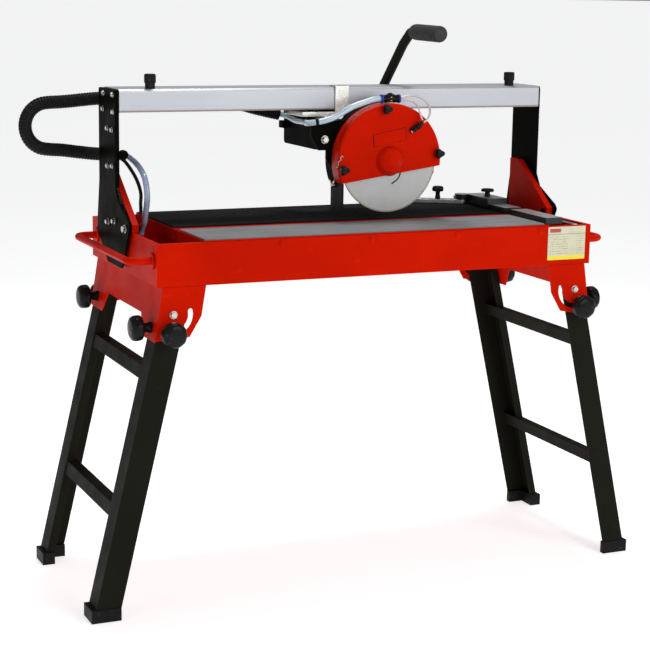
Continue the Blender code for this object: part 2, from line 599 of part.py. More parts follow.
# ---------------------------------------------------------------- fence and mitre arm
RAIL_X = (0.342, 0.379)
RAIL_Z = (PAN_TOP + GAP, 0.690)
MITRE_PIVOT = (0.330, 0.127)
ARM_Z = (0.6812, 0.6895)


def build_fence():
    piece("fence_rail_front", block((RAIL_X[0], -0.190, RAIL_Z[0]), (RAIL_X[1], -0.055, RAIL_Z[1])),
          BLACK, (0.6, 0.4))
    piece("fence_rail_back", block((RAIL_X[0], -0.033, RAIL_Z[0]), (RAIL_X[1], 0.184, RAIL_Z[1])),
          BLACK, (0.6, 0.4))
    body = block((0.3380, 0.030, RAIL_Z[1] + GAP), (0.3830, 0.130, 0.701))
    solids = [block((0.3380, 0.030, 0.6830), (RAIL_X[0] - GAP, 0.110, 0.695)),
              block((RAIL_X[1] + GAP, 0.030, 0.6830), (0.3830, 0.130, 0.695)),
              rod((*MITRE_PIVOT, RAIL_Z[1] + GAP), (*MITRE_PIVOT, 0.701), 0.0140, 20),
              block((0.330, 0.1130, RAIL_Z[1] + GAP), (0.340, 0.130, 0.701)),
              rod((*MITRE_PIVOT, 0.6820), (*MITRE_PIVOT, 0.695), 0.0035, 12)]
    piece("fence_slider", body, BLACK, (0.3, 0.4), add=solids)
    base = (0.3605, 0.072, 0.701 + GAP)
    piece("slider_knob", knob(base, (0, 0, 1), 0, 0.0035, 0.0122, 0.0145, 0.007, 14), BLACK, (0.0, 0.45), pivot=base)

    heading = math.radians(152)
    along = Vector((math.cos(heading), math.sin(heading)))
    across = Vector((-along.y, along.x))
    centre = Vector(MITRE_PIVOT)
    tip = centre + along * 0.135
    turn = math.degrees(heading)
    outline = arc(MITRE_PIVOT, 0.0110, turn + 90, turn + 270, 10)
    outline += [tuple(tip - across * 0.0110), tuple(tip + across * 0.0110)]
    hole = arc(MITRE_PIVOT, 0.0038, 0, 330, 11)
    piece("mitre_arm", plate(outline, "XY", *ARM_Z, [hole]), STEEL, (1.0, 0.35), pivot=(*MITRE_PIVOT, 0.687))
    spot = centre + along * 0.049
    base = (spot.x, spot.y, ARM_Z[1] + GAP)
    piece("mitre_knob", knob(base, (0, 0, 1), 0, 0.0100, 0.0162, 0.013, 0.007, 14), BLACK, (0.0, 0.45), pivot=base)
    strip = block((0.400, -0.1950, TRAY_TOP + GAP), (0.410, 0.1950, TRAY_TOP + 0.0018))
    piece("ruler_strip", strip, STEEL, (1.0, 0.3))


# ---------------------------------------------------------------- hoses and cables
def build_cords():
    sleeve = [(-0.0750, 0.138, 0.8700), (-0.0840, 0.147, 0.8720), (-0.1010, 0.150, 0.8760), (-0.1470, 0.152, 0.8870),
              (-0.2200, 0.158, 0.8985), (-0.3000, 0.160, 0.9010), (-0.3800, 0.160, 0.9025), (-0.4370, 0.160, 0.9027),
              (-0.5000, 0.160, 0.8976), (-0.5370, 0.160, 0.8934), (-0.5605, 0.160, 0.8840), (-0.5740, 0.160, 0.8700),
              (-0.5770, 0.160, 0.8540), (-0.5720, 0.160, 0.8370), (-0.5590, 0.160, 0.8230), (-0.5300, 0.160, 0.8110),
              (-0.4780, 0.158, 0.8030), (-0.4450, 0.150, 0.7995), (-0.4180, 0.138, 0.7990)]
    piece("cable_sleeve", tube(eased(sleeve, 3), 0.0125, 2), BLACK, (0.0, 0.8))
    upper = [(-0.4180, 0.1328, 0.8030), (-0.4098, 0.1295, 0.8028), (-0.4020, 0.1150, 0.8000),
             (-0.4000, 0.0986, 0.7993), (-0.4000, 0.0525, 0.7929), (-0.4000, 0.0151, 0.7828),
             (-0.4000, -0.0118, 0.7673), (-0.4000, -0.0237, 0.7428), (-0.4000, -0.0220, 0.7243),
             (-0.4000, -0.0108, 0.6969)]
    lower = [(-0.4000, -0.0103, 0.6953), (-0.4000, -0.0070, 0.6875), (-0.4000, 0.0030, 0.6780),
             (-0.4000, 0.0105, 0.6690), (-0.4000, 0.0120, 0.6618)]
    piece("water_hose_upper", tube(eased(upper, 2), 0.0055, 2), CLEAR, (0.0, 0.2))
    piece("water_hose_lower", tube(eased(lower, 2), 0.0055, 2), CLEAR, (0.0, 0.2))
    cable = [(-0.4142, 0.1425, 0.7945), (-0.4060, 0.1420, 0.7925), (-0.3919, 0.1430, 0.7863),
             (-0.3726, 0.1550, 0.7647), (-0.3564, 0.1700, 0.7417), (-0.3444, 0.1870, 0.7169),
             (-0.3381, 0.2030, 0.6952), (-0.3357, 0.2130, 0.6840), (-0.3357, 0.2145, 0.6770)]
    piece("power_cable", tube(eased(cable, 4), 0.0035, 2), BLACK, (0.0, 0.5))
    hose = [(0.0577, -0.0410, 0.9095), (0.0450, -0.0410, 0.9085), (0.0200, -0.0410, 0.9020),
            (-0.0050, -0.0405, 0.8930), (-0.0360, -0.0400, 0.8765), (-0.0600, -0.0370, 0.8690),
            (-0.0780, -0.0300, 0.8655), (-0.0824, -0.0180, 0.8640), (-0.0795, -0.0040, 0.8633),
            (-0.0725, 0.0130, 0.8630), (-0.0690, 0.0344, 0.8621), (-0.0690, 0.0688, 0.8623),
            (-0.0690, 0.0989, 0.8659), (-0.0690, 0.1130, 0.8678), (-0.0700, 0.1250, 0.8690),
            (-0.0728, 0.1335, 0.8697)]
    piece("head_hose", tube(eased(hose, 3), 0.0058, 2), CLEAR, (0.0, 0.2))


build_tray()
build_table()
build_tray_fittings()
for side, label in ((-1, "left"), (1, "right")):
    build_carry_handle(side, f"carry_handle_{label}")
    build_gusset(side, f"gusset_{label}")
    build_leg_bracket(side, f"leg_bracket_{label}")
    build_leg_frame(side, f"leg_frame_{label}", (f"foot_{label}_front", f"foot_{label}_back"))
    build_leg_knobs(side, label)
    build_post(side, f"post_{label}")
    build_stop_knob(side, f"stop_knob_{label}")
build_beam()
build_carriage()
build_pivot_housing()
build_cable_clamp()
build_handle()
build_guard()
build_blade()
build_fence()
build_cords()
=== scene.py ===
import math

import bmesh
import bpy
from mathutils import Matrix, Vector


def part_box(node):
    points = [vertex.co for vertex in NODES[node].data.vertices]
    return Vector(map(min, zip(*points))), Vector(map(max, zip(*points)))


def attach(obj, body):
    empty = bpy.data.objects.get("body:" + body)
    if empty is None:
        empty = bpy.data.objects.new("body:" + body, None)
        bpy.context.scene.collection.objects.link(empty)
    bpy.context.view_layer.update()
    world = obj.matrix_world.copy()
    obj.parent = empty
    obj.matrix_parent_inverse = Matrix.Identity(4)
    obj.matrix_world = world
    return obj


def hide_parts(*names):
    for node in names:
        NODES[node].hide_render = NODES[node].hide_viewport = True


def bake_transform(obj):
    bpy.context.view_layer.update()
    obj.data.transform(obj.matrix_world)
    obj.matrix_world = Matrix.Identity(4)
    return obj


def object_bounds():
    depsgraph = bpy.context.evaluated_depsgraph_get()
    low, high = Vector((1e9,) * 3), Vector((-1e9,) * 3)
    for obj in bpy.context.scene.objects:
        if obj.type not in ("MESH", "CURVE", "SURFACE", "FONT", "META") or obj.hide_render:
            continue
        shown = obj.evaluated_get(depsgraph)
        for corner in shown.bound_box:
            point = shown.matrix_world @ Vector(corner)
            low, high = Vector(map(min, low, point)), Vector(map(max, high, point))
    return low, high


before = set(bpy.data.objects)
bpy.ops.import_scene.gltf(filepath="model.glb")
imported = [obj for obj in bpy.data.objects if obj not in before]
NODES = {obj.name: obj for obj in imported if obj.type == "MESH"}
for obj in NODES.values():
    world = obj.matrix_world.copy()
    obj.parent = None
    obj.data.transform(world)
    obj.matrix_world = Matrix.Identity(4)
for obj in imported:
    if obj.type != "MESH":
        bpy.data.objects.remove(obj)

cad_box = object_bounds()
TAU = 2 * math.pi

# Shapes shared with the CAD model, in metres.
BLADE_CENTRE = Vector((0.076, -0.043, 0.793))
BLADE_RADIUS = 0.100
GUARD_CENTRE = Vector((0.0735, 0.0, 0.793))
GUARD_RADIUS = 0.1085
GUARD_FRONT, GUARD_BACK = -0.058, -0.0263
GUARD_EDGE = (Vector((-0.0203, 0.0, 0.7528)), Vector((0.1838, 0.0, 0.7825)))
DOME_CENTRE = Vector((0.072, GUARD_FRONT, 0.793))
GRIP_START = Vector((0.1455, -0.0040, 1.0340))
GRIP_END = Vector((0.1455, -0.1120, 1.0325))
LEG_PIVOT = (0.409, 0.5495)
BEVEL_PIVOT = (-0.043, 0.682)
POST_FACE = {-1: 0.4481, 1: 0.4424}
RAIL_BOLTS = ((0.083, 0.918), (0.026, 0.918), (0.088, 0.889), (0.025, 0.887), (0.061, 0.855), (0.061, 0.786),
              (0.032, 0.854), (0.032, 0.788))
TRAY_FRONT = -0.197
RIM_START = 0.0945
BOLT_HEADS = {"bevel": (0.0065, 0.0062), "lock": (0.0047, 0.0061), "rail": (0.0042, 0.0040),
        "leg": (0.0060, 0.0053)}

# The stage. The floor glows a little so that it stays pale out to the horizon.
WORLD_STRENGTH = 0.27
FLOOR_GLOW = 0.66
FLOOR_REACH = 300.0


# ---------------------------------------------------------------- camera and lights
def add_camera():
    position = Vector((-1.3518, -2.9568, 1.1096))
    forward = Vector((0.40005, 0.89581, -0.19361)).normalized()
    roll = math.radians(0.942)
    level = forward.cross(Vector((0, 0, 1))).normalized()
    above = level.cross(forward)
    right = level * math.cos(roll) + above * math.sin(roll)
    up = above * math.cos(roll) - level * math.sin(roll)
    data = bpy.data.cameras.new("camera")
    data.sensor_width = 36
    data.lens = 93.93
    camera = bpy.data.objects.new("camera", data)
    camera.matrix_world = Matrix.Translation(position) @ Matrix((right, up, -forward)).transposed().to_4x4()
    bpy.context.scene.collection.objects.link(camera)
    bpy.context.scene.camera = camera


def add_area(name, position, target, size, power):
    data = bpy.data.lights.new(name, "AREA")
    data.size = size
    data.energy = power
    light = bpy.data.objects.new(name, data)
    light.location = position
    light.rotation_euler = (Vector(target) - Vector(position)).to_track_quat("-Z", "Y").to_euler()
    bpy.context.scene.collection.objects.link(light)


def add_lights():
    world = bpy.data.worlds.new("studio")
    bpy.context.scene.world = world
    world.use_nodes = True
    background = world.node_tree.nodes["Background"]
    background.inputs["Color"].default_value = (0.97, 0.98, 1.0, 1)
    background.inputs["Strength"].default_value = WORLD_STRENGTH
    add_area("overhead", (0.15, 0.35, 3.0), (0, 0, 0.7), 0.60, 34)
    add_area("front_fill", (1.3, -3.5, 2.0), (0.1, 0, 0.6), 2.2, 56)
    add_area("left_fill", (-3.0, -0.9, 1.5), (-0.3, 0, 0.6), 1.4, 6)
    view = bpy.context.scene.view_settings
    view.view_transform = "Standard"
    view.look = "None"
    view.exposure = 0.0


# ---------------------------------------------------------------- procedural surfaces
class Surface:
    """One Principled material whose detail is worked out from the piece's own position in metres."""

    def __init__(self, name, roughness=0.5, metallic=0.0):
        self.material = bpy.data.materials.new(name)
        self.material.use_nodes = True
        self.tree = self.material.node_tree
        self.shader = self.tree.nodes["Principled BSDF"]
        self.shader.inputs["Roughness"].default_value = roughness
        self.shader.inputs["Metallic"].default_value = metallic
        self.place = self.add("ShaderNodeTexCoord").outputs["Object"]
        self.relief = None

    def add(self, kind, **settings):
        node = self.tree.nodes.new(kind)
        for key, value in settings.items():
            setattr(node, key, value)
        return node

    def feed(self, socket, value):
        if isinstance(value, bpy.types.NodeSocket):
            self.tree.links.new(value, socket)
        elif isinstance(value, (tuple, list)) and len(value) == 3 and len(socket.default_value) == 4:
            socket.default_value = (*value, 1)
        else:
            socket.default_value = value

    def stretched(self, scale, offset=(0, 0, 0)):
        mapping = self.add("ShaderNodeMapping")
        self.feed(mapping.inputs["Vector"], self.place)
        mapping.inputs["Scale"].default_value = scale
        mapping.inputs["Location"].default_value = offset
        return mapping.outputs["Vector"]

    def noise(self, scale, detail=3.0, where=None):
        node = self.add("ShaderNodeTexNoise")
        self.feed(node.inputs["Vector"], where or self.place)
        node.inputs["Scale"].default_value = scale
        node.inputs["Detail"].default_value = detail
        return node.outputs["Fac"]

    def math(self, operation, a, b=0.0):
        node = self.add("ShaderNodeMath", operation=operation)
        self.feed(node.inputs[0], a)
        self.feed(node.inputs[1], b)
        return node.outputs[0]

    def span(self, value, low, high, to_low=0.0, to_high=1.0):
        node = self.add("ShaderNodeMapRange")
        self.feed(node.inputs["Value"], value)
        for key, number in (("From Min", low), ("From Max", high), ("To Min", to_low), ("To Max", to_high)):
            node.inputs[key].default_value = number
        return node.outputs["Result"]

    def mix(self, factor, a, b):
        node = self.add("ShaderNodeMix", data_type="RGBA")
        self.feed(node.inputs["Factor"], factor)
        self.feed(node.inputs[6], a)
        self.feed(node.inputs[7], b)
        return node.outputs[2]

    def axes(self, vector=None):
        node = self.add("ShaderNodeSeparateXYZ")
        self.feed(node.inputs[0], vector or self.place)
        return node.outputs

    def uv(self):
        return self.axes(self.add("ShaderNodeTexCoord").outputs["UV"])

    def edges(self, radius):
        """1 near a sharp edge, 0 on flat and gently curved ground."""
        soft = self.add("ShaderNodeBevel", samples=4)
        soft.inputs["Radius"].default_value = radius
        true = self.add("ShaderNodeNewGeometry")
        dot = self.add("ShaderNodeVectorMath", operation="DOT_PRODUCT")
        self.feed(dot.inputs[0], soft.outputs["Normal"])
        self.feed(dot.inputs[1], true.outputs["Normal"])
        return self.span(dot.outputs["Value"], 0.995, 0.90)

    def colour(self, value):
        self.feed(self.shader.inputs["Base Color"], value)

    def rough(self, value):
        self.feed(self.shader.inputs["Roughness"], value)

    def bump(self, height, depth, strength=1.0):
        node = self.add("ShaderNodeBump")
        node.inputs["Distance"].default_value = depth
        node.inputs["Strength"].default_value = strength
        self.feed(node.inputs["Height"], height)
        if self.relief:
            self.feed(node.inputs["Normal"], self.relief)
        self.relief = node.outputs["Normal"]
        self.feed(self.shader.inputs["Normal"], self.relief)

    def set(self, **inputs):
        for key, value in inputs.items():
            self.feed(self.shader.inputs[key.replace("_", " ")], value)
        return self


def scaled(colour, factor):
    return tuple(min(1.0, c * factor) for c in colour)


def powder_coat(name, colour, roughness, edge_highlight_gain, wear, gloss=0.30):
    s = Surface(name)
    cloud = s.span(s.noise(7, 4), 0.35, 0.65)
    base = s.mix(cloud, scaled(colour, 0.90), scaled(colour, 1.06))
    speckle = s.span(s.noise(650, 2), 0.62, 0.75, 0, 0.25)
    base = s.mix(speckle, base, scaled(colour, 0.75))
    scuff = s.span(s.noise(38, 8, s.stretched((1, 1, 3.5))), 0.66, 0.74, 0, 0.16)
    base = s.mix(scuff, base, wear)
    # Lighter colour along sharp edges, patchy by noise: painted edge highlight.
    edge = s.math("MULTIPLY", s.edges(0.0016), s.span(s.noise(55, 4), 0.35, 0.62, 0.2, 0.85))
    s.colour(s.mix(edge, base, scaled(colour, edge_highlight_gain)))
    s.rough(s.span(s.noise(24, 5), 0.3, 0.7, roughness - 0.07, roughness + 0.09))
    s.bump(s.noise(620, 2), 0.00018, 0.35)
    s.bump(s.noise(60, 3), 0.0006, 0.12)
    tint = (*scaled(colour, 1.0 / max(colour)), 1)
    return s.set(Specular_IOR_Level=gloss, Specular_Tint=tint).material


def moulded(name, colour, roughness, grain=900, depth=0.00012, coat=0.0):
    s = Surface(name)
    cloud = s.span(s.noise(30, 4), 0.35, 0.65)
    base = s.mix(cloud, scaled(colour, 0.80), scaled(colour, 1.20))
    dust = s.span(s.noise(140, 6), 0.60, 0.78, 0, 0.10)
    base = s.mix(dust, base, (0.30, 0.29, 0.27))
    # Much lighter colour along sharp edges, patchy by noise: painted edge highlight.
    edge = s.math("MULTIPLY", s.edges(0.0008), s.span(s.noise(90, 3), 0.4, 0.6, 0, 0.30))
    s.colour(s.mix(edge, base, scaled(colour, 2.4)))
    s.rough(s.span(s.noise(70, 5), 0.3, 0.7, roughness - 0.06, roughness + 0.08))
    s.bump(s.noise(grain, 2), depth, 0.4)
    return s.set(Specular_IOR_Level=0.09, Coat_Weight=0.2 * coat, Coat_Roughness=0.10).material


def brushed(name, colour, roughness, scale, metallic=1.0):
    """Metal with fine drawn lines, long along the axis whose scale is smallest."""
    s = Surface(name, metallic=metallic)
    lines = s.noise(1.0, 6, s.stretched(scale))
    cloud = s.span(s.noise(14, 4), 0.3, 0.7)
    base = s.mix(cloud, scaled(colour, 0.92), scaled(colour, 1.04))
    base = s.mix(s.span(lines, 0.35, 0.7, 0, 0.35), base, scaled(colour, 0.80))
    s.colour(base)
    s.rough(s.span(lines, 0.3, 0.7, roughness - 0.06, roughness + 0.10))
    s.bump(lines, 0.0001, 0.25)
    return s.material


def plated(name, colour, roughness):
    s = Surface(name, metallic=1.0)
    spangle = s.add("ShaderNodeTexVoronoi")
    s.feed(spangle.inputs["Vector"], s.place)
    spangle.inputs["Scale"].default_value = 260
    tone = s.span(spangle.outputs["Distance"], 0.0, 0.8)
    base = s.mix(tone, scaled(colour, 1.05), scaled(colour, 0.86))
    tarnish = s.span(s.noise(45, 6), 0.58, 0.74, 0, 0.35)
    s.colour(s.mix(tarnish, base, (0.36, 0.30, 0.22)))
    s.rough(s.span(s.noise(180, 4), 0.3, 0.7, roughness - 0.08, roughness + 0.12))
    s.bump(s.noise(420, 3), 0.0001, 0.3)
    return s.material


def ribbed_rubber(name, tone, dust):
    """Sheet rubber with fine ribs along the table, painted shade darkening the rib grooves, and stone dust
    rubbed into it.
    """
    s = Surface(name)
    across = s.axes()[1]
    rib = s.math("SINE", s.math("MULTIPLY", across, TAU / 0.0040))
    cloud = s.span(s.noise(11, 5), 0.3, 0.7)
    base = s.mix(cloud, (0.88 * tone, 0.90 * tone, 0.93 * tone), (1.12 * tone, 1.13 * tone, 1.15 * tone))
    # The rib troughs are darkened in colour: painted shade in the grooves, on top of the rib bump.
    base = s.mix(s.span(rib, -1, 1, 0.30, 0.0), base, (0.4 * tone, 0.4 * tone, 0.42 * tone))
    streaks = s.noise(1.0, 5, s.stretched((5, 120, 5)))
    base = s.mix(s.span(streaks, 0.50, 0.72, 0, dust), base, (0.42, 0.42, 0.40))
    s.colour(base)
    s.rough(s.span(s.noise(90, 4), 0.3, 0.7, 0.66, 0.85))
    s.bump(rib, 0.0004, 0.5)
    s.bump(s.noise(700, 3), 0.0002, 0.4)
    return s.set(Specular_IOR_Level=0.03).material


def blade_steel():
    s = Surface("blade_steel", metallic=0.75)
    centre = s.add("ShaderNodeVectorMath", operation="SUBTRACT")
    s.feed(centre.inputs[0], s.place)
    centre.inputs[1].default_value = BLADE_CENTRE
    x, _, z = s.axes(centre.outputs[0])
    reach = s.math("SQRT", s.math("ADD", s.math("POWER", x, 2.0), s.math("POWER", z, 2.0)))
    ring_place = s.add("ShaderNodeCombineXYZ")
    s.feed(ring_place.inputs[0], s.math("MULTIPLY", reach, 2600.0))
    rings = s.noise(1.0, 5, ring_place.outputs[0])
    cloud = s.span(s.noise(26, 5), 0.3, 0.7)
    base = s.mix(cloud, (0.37, 0.375, 0.37), (0.435, 0.435, 0.43))
    base = s.mix(s.span(rings, 0.35, 0.65, 0, 0.22), base, (0.38, 0.38, 0.378))
    grit = s.span(s.noise(1500, 3), 0.42, 0.60)
    rim = s.mix(grit, (0.26, 0.245, 0.22), (0.50, 0.48, 0.43))
    s.colour(s.mix(s.span(reach, RIM_START, RIM_START + 0.0010), base, rim))
    s.rough(s.span(rings, 0.3, 0.7, 0.34, 0.48))
    s.bump(rings, 0.00006, 0.3)
    return s.material


def clear_hose(name, colour, along=0.0):
    s = Surface(name)
    cloud = s.span(s.noise(35, 4), 0.3, 0.7)
    base = s.mix(cloud, scaled(colour, 0.85), scaled(colour, 1.10))
    lengthwise, around, _ = s.uv()
    thread = s.math("SINE", s.math("ADD", s.math("MULTIPLY", lengthwise, TAU / 0.006),
                                   s.math("MULTIPLY", around, TAU * 2)))
    s.colour(s.mix(s.span(thread, 0.80, 1.0, 0, along), base, scaled(colour, 1.5)))
    s.rough(s.span(s.noise(50, 4), 0.3, 0.7, 0.10, 0.26))
    s.bump(s.noise(160, 3), 0.0003, 0.2)
    return s.set(Transmission_Weight=0.35, IOR=1.45, Coat_Weight=0.5, Coat_Roughness=0.06).material


def foam():
    s = Surface("grip_foam")
    cells = s.add("ShaderNodeTexVoronoi")
    s.feed(cells.inputs["Vector"], s.place)
    cells.inputs["Scale"].default_value = 900
    pore = s.span(cells.outputs["Distance"], 0.1, 0.7)
    s.colour(s.mix(pore, (0.028, 0.028, 0.030), (0.010, 0.010, 0.011)))
    s.rough(s.span(s.noise(120, 4), 0.3, 0.7, 0.62, 0.82))
    s.bump(pore, 0.0003, 0.5)
    return s.material


def extruded_beam():
    """Clear anodised extrusion: lengthwise die lines, a brownish band along its lower edge that is a painted
    reflection, and a paler band along its top edge that is a painted highlight.
    """
    s = Surface("aluminium", metallic=0.60)
    lines = s.noise(1.0, 6, s.stretched((2, 700, 700)))
    cloud = s.span(s.noise(5, 4, s.stretched((1, 3, 3))), 0.3, 0.7)
    base = s.mix(cloud, (0.470, 0.484, 0.522), (0.515, 0.527, 0.564))
    base = s.mix(s.span(lines, 0.35, 0.7, 0, 0.25), base, (0.47, 0.47, 0.52))
    height = s.axes()[2]
    # Brownish band along the lower edge: painted reflection.
    base = s.mix(s.span(height, 0.8905, 0.8885, 0, 0.75), base, (0.20, 0.135, 0.105))
    # Flat pale band along the top edge: painted highlight.
    s.colour(s.mix(s.span(height, 0.9255, 0.9275, 0, 0.6), base, (0.50, 0.50, 0.51)))
    s.rough(s.span(lines, 0.3, 0.7, 0.36, 0.50))
    s.bump(lines, 0.0001, 0.2)
    return s.material


def topped_rail():
    """Dark anodised flanks under a ground, bright upper face."""
    s = Surface("dark_anodised", metallic=0.85)
    lines = s.noise(1.0, 5, s.stretched((700, 5, 700)))
    dark = s.mix(s.span(lines, 0.3, 0.7), (0.030, 0.030, 0.031), (0.046, 0.045, 0.046))
    bright = s.mix(s.span(lines, 0.3, 0.7), (0.60, 0.59, 0.58), (0.72, 0.71, 0.70))
    facing = s.axes(s.add("ShaderNodeNewGeometry").outputs["True Normal"])[2]
    s.colour(s.mix(s.span(facing, 0.85, 0.95), dark, bright))
    s.rough(s.span(lines, 0.3, 0.7, 0.30, 0.44))
    s.bump(lines, 0.0001, 0.25)
    return s.material


def data_plate_print():
    """Cream plate with ruled lines, blank bars and a yellow strip, and nothing to read."""
    s = Surface("data_plate")
    x, _, z = s.axes()
    cloud = s.span(s.noise(60, 4), 0.3, 0.7)
    base = s.mix(cloud, (0.60, 0.57, 0.40), (0.68, 0.65, 0.47))
    row = s.math("FRACT", s.math("DIVIDE", s.math("SUBTRACT", z, 0.6205), 0.0046))
    dashes = s.span(s.noise(1.0, 2, s.stretched((260, 1, 220))), 0.47, 0.52)
    left = s.math("MULTIPLY", s.math("LESS_THAN", x, 0.389), s.math("GREATER_THAN", x, 0.348))
    right = s.math("MULTIPLY", s.math("LESS_THAN", x, 0.423), s.math("GREATER_THAN", x, 0.408))
    columns = s.math("MAXIMUM", left, right)
    lines = s.math("MULTIPLY", s.math("MULTIPLY", s.math("LESS_THAN", row, 0.24), dashes), columns)
    lines = s.math("MULTIPLY", lines, s.math("LESS_THAN", z, 0.6560))
    base = s.mix(s.math("MULTIPLY", lines, 0.6), base, (0.13, 0.12, 0.10))
    rule = s.math("LESS_THAN", s.math("ABSOLUTE", s.math("SUBTRACT", z, 0.6585)), 0.0005)
    base = s.mix(s.math("MULTIPLY", rule, 0.7), base, (0.10, 0.09, 0.08))
    block = s.math("MULTIPLY", s.math("GREATER_THAN", z, 0.6622), s.math("LESS_THAN", z, 0.6695))
    block = s.math("MULTIPLY", block, s.math("LESS_THAN", x, 0.3720))
    block = s.math("MULTIPLY", block, s.math("GREATER_THAN", x, 0.3480))
    base = s.mix(block, base, (0.42, 0.07, 0.05))
    s.colour(s.mix(s.math("LESS_THAN", z, 0.6172), base, (0.82, 0.70, 0.04)))
    s.rough(s.span(s.noise(80, 3), 0.3, 0.7, 0.28, 0.42))
    s.bump(s.noise(300, 2), 0.0001, 0.2)
    return s.material


def floor_surface():
    s = Surface("pale_floor")
    cloud = s.span(s.noise(1.2, 4), 0.3, 0.7)
    s.colour(s.mix(cloud, (0.86, 0.86, 0.86), (0.89, 0.89, 0.89)))
    s.rough(s.span(s.noise(3, 3), 0.3, 0.7, 0.75, 0.85))
    return s.set(Specular_IOR_Level=0.05, Emission_Strength=FLOOR_GLOW).material


RED = powder_coat("red_paint", (0.56, 0.0100, 0.0012), 0.40, 1.40, (0.66, 0.07, 0.03), 0.035)
GUARD_RED = powder_coat("guard_red", (0.55, 0.0100, 0.0012), 0.27, 1.25, (0.66, 0.07, 0.03), 0.16)
BADGE_DARK = moulded("badge_dark", (0.055, 0.004, 0.003), 0.35)
BLACK = powder_coat("black_paint", (0.0120, 0.0120, 0.0092), 0.45, 2.6, (0.045, 0.045, 0.038), 0.022)
DEEP_BLACK = powder_coat("deep_black_paint", (0.0036, 0.0036, 0.0030), 0.40, 3.5, (0.020, 0.020, 0.017), 0.007)
PLASTIC = moulded("black_plastic", (0.0085, 0.0085, 0.0088), 0.27, coat=0.18)
RUBBER = moulded("black_rubber", (0.0085, 0.0085, 0.0085), 0.48, 500, 0.0002)
FOAM = foam()
FRONT_MAT = ribbed_rubber("mat_rubber_front", 0.250, 0.38)
# The back mat is the same rubber as the front one, painted near-black as painted shadow standing in for the
# beam's cast shadow.
SHADOWED_BACK_MAT = ribbed_rubber("mat_rubber_back_painted_shadow", 0.016, 0.05)
BEAM = extruded_beam()
RAIL = topped_rail()
ZINC = plated("zinc_steel", (0.66, 0.65, 0.61), 0.30)
STEEL = brushed("bright_steel", (0.66, 0.66, 0.67), 0.30, (30, 160, 160), 0.85)
BRASS = plated("brass", (0.62, 0.42, 0.16), 0.28)
BLUE = moulded("blue_plastic", (0.02, 0.06, 0.42), 0.30)
BLADE = blade_steel()
HOSE = clear_hose("hose", (0.42, 0.54, 0.72), 0.25)
HEAD_HOSE = clear_hose("head_hose_clear", (0.62, 0.78, 0.88), 0.2)
FINE_TUBE = clear_hose("fine_tube", (0.86, 0.74, 0.74))
PRINT = data_plate_print()

FINISHES = (
    (("tray", "front_pan", "back_pan", "carry_handle", "gusset", "leg_bracket", "switch_rocker"), RED),
    (("leg_frame", "handle_tube"), BLACK),
    (("post_", "pivot_housing", "head_housing", "cable_clamp"), DEEP_BLACK),
    (("front_mat",), FRONT_MAT),
    (("back_mat",), SHADOWED_BACK_MAT),
    (("beam",), BEAM),
    (("fence_rail", "fence_slider"), RAIL),
    (("mitre_arm",), STEEL),
    (("carriage", "arbor", "ruler_strip"), ZINC),
    (("foot_", "splash_flap"), RUBBER),
)


def finish_frame():
    """Gives each CAD node its surface and rounds its sharp edges slightly."""
    for name, node in NODES.items():
        surface = next((s for starts, s in FINISHES if name.startswith(starts)), PLASTIC)
        node.data.materials.clear()
        node.data.materials.append(surface)
        weld = node.modifiers.new("Weld", "WELD")
        weld.merge_threshold = 0.00001
        soften = node.modifiers.new("Soften", "BEVEL")
        soften.width = 0.0007
        soften.segments = 2
        soften.limit_method = "ANGLE"
        soften.angle_limit = math.radians(34)
        node.modifiers.new("Normals", "WEIGHTED_NORMAL")


# ---------------------------------------------------------------- mesh helpers
def finish_piece(name, bm, surface, body, soften=0.0, replaces=()):
    """Makes the object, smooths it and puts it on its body."""
    bmesh.ops.recalc_face_normals(bm, faces=bm.faces)
    mesh = bpy.data.meshes.new(name)
    bm.to_mesh(mesh)
    bm.free()
    for face in mesh.polygons:
        face.use_smooth = True
    mesh.materials.append(surface)
    piece = bpy.data.objects.new(name, mesh)
    bpy.context.scene.collection.objects.link(piece)
    if soften:
        bevel = piece.modifiers.new("Soften", "BEVEL")
        bevel.width = soften
        bevel.segments = 3
        bevel.limit_method = "ANGLE"
        bevel.angle_limit = math.radians(32)
    piece.modifiers.new("Normals", "WEIGHTED_NORMAL")
    if body:
        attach(piece, body)
    if replaces:
        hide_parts(*replaces)
    return piece


def turned(bm, profile, base, axis, steps=48, lobes=0, depth=0.0):
    """Revolves (radius, height[, lobe share]) points; lobes press flutes into the points that have a share."""
    turn = Vector((0, 0, 1)).rotation_difference(Vector(axis)).to_matrix()
    base = Vector(base)
    rings = []
    for radius, height, *share in profile:
        if radius < 1e-6:
            rings.append([bm.verts.new(base + turn @ Vector((0, 0, height)))])
            continue
        ring = []
        for i in range(steps):
            angle = TAU * i / steps
            cut = depth * (share[0] if share else 0.0) * (0.5 - 0.5 * math.cos(lobes * angle))
            r = radius * (1 - cut)
            ring.append(bm.verts.new(base + turn @ Vector((r * math.cos(angle), r * math.sin(angle), height))))
        rings.append(ring)
    for low, high in zip(rings, rings[1:]):
        for i in range(steps):
            j = (i + 1) % steps
            loop = [low[i % len(low)], low[j % len(low)], high[j % len(high)], high[i % len(high)]]
            unique = list(dict.fromkeys(loop))
            if len(unique) > 2:
                bm.faces.new(unique)


def slab(bm, outline, plane, low, high):
    """Extrudes a flat outline between two heights: plane names its two axes."""
    places = {"XZ": lambda a, b, h: (a, h, b), "XY": lambda a, b, h: (a, b, h), "YZ": lambda a, b, h: (h, a, b)}
    near = [bm.verts.new(places[plane](a, b, low)) for a, b in outline]
    far = [bm.verts.new(places[plane](a, b, high)) for a, b in outline]
    bm.faces.new(near)
    bm.faces.new(far[::-1])
    for i in range(len(outline)):
        j = (i + 1) % len(outline)
        bm.faces.new((near[j], near[i], far[i], far[j]))


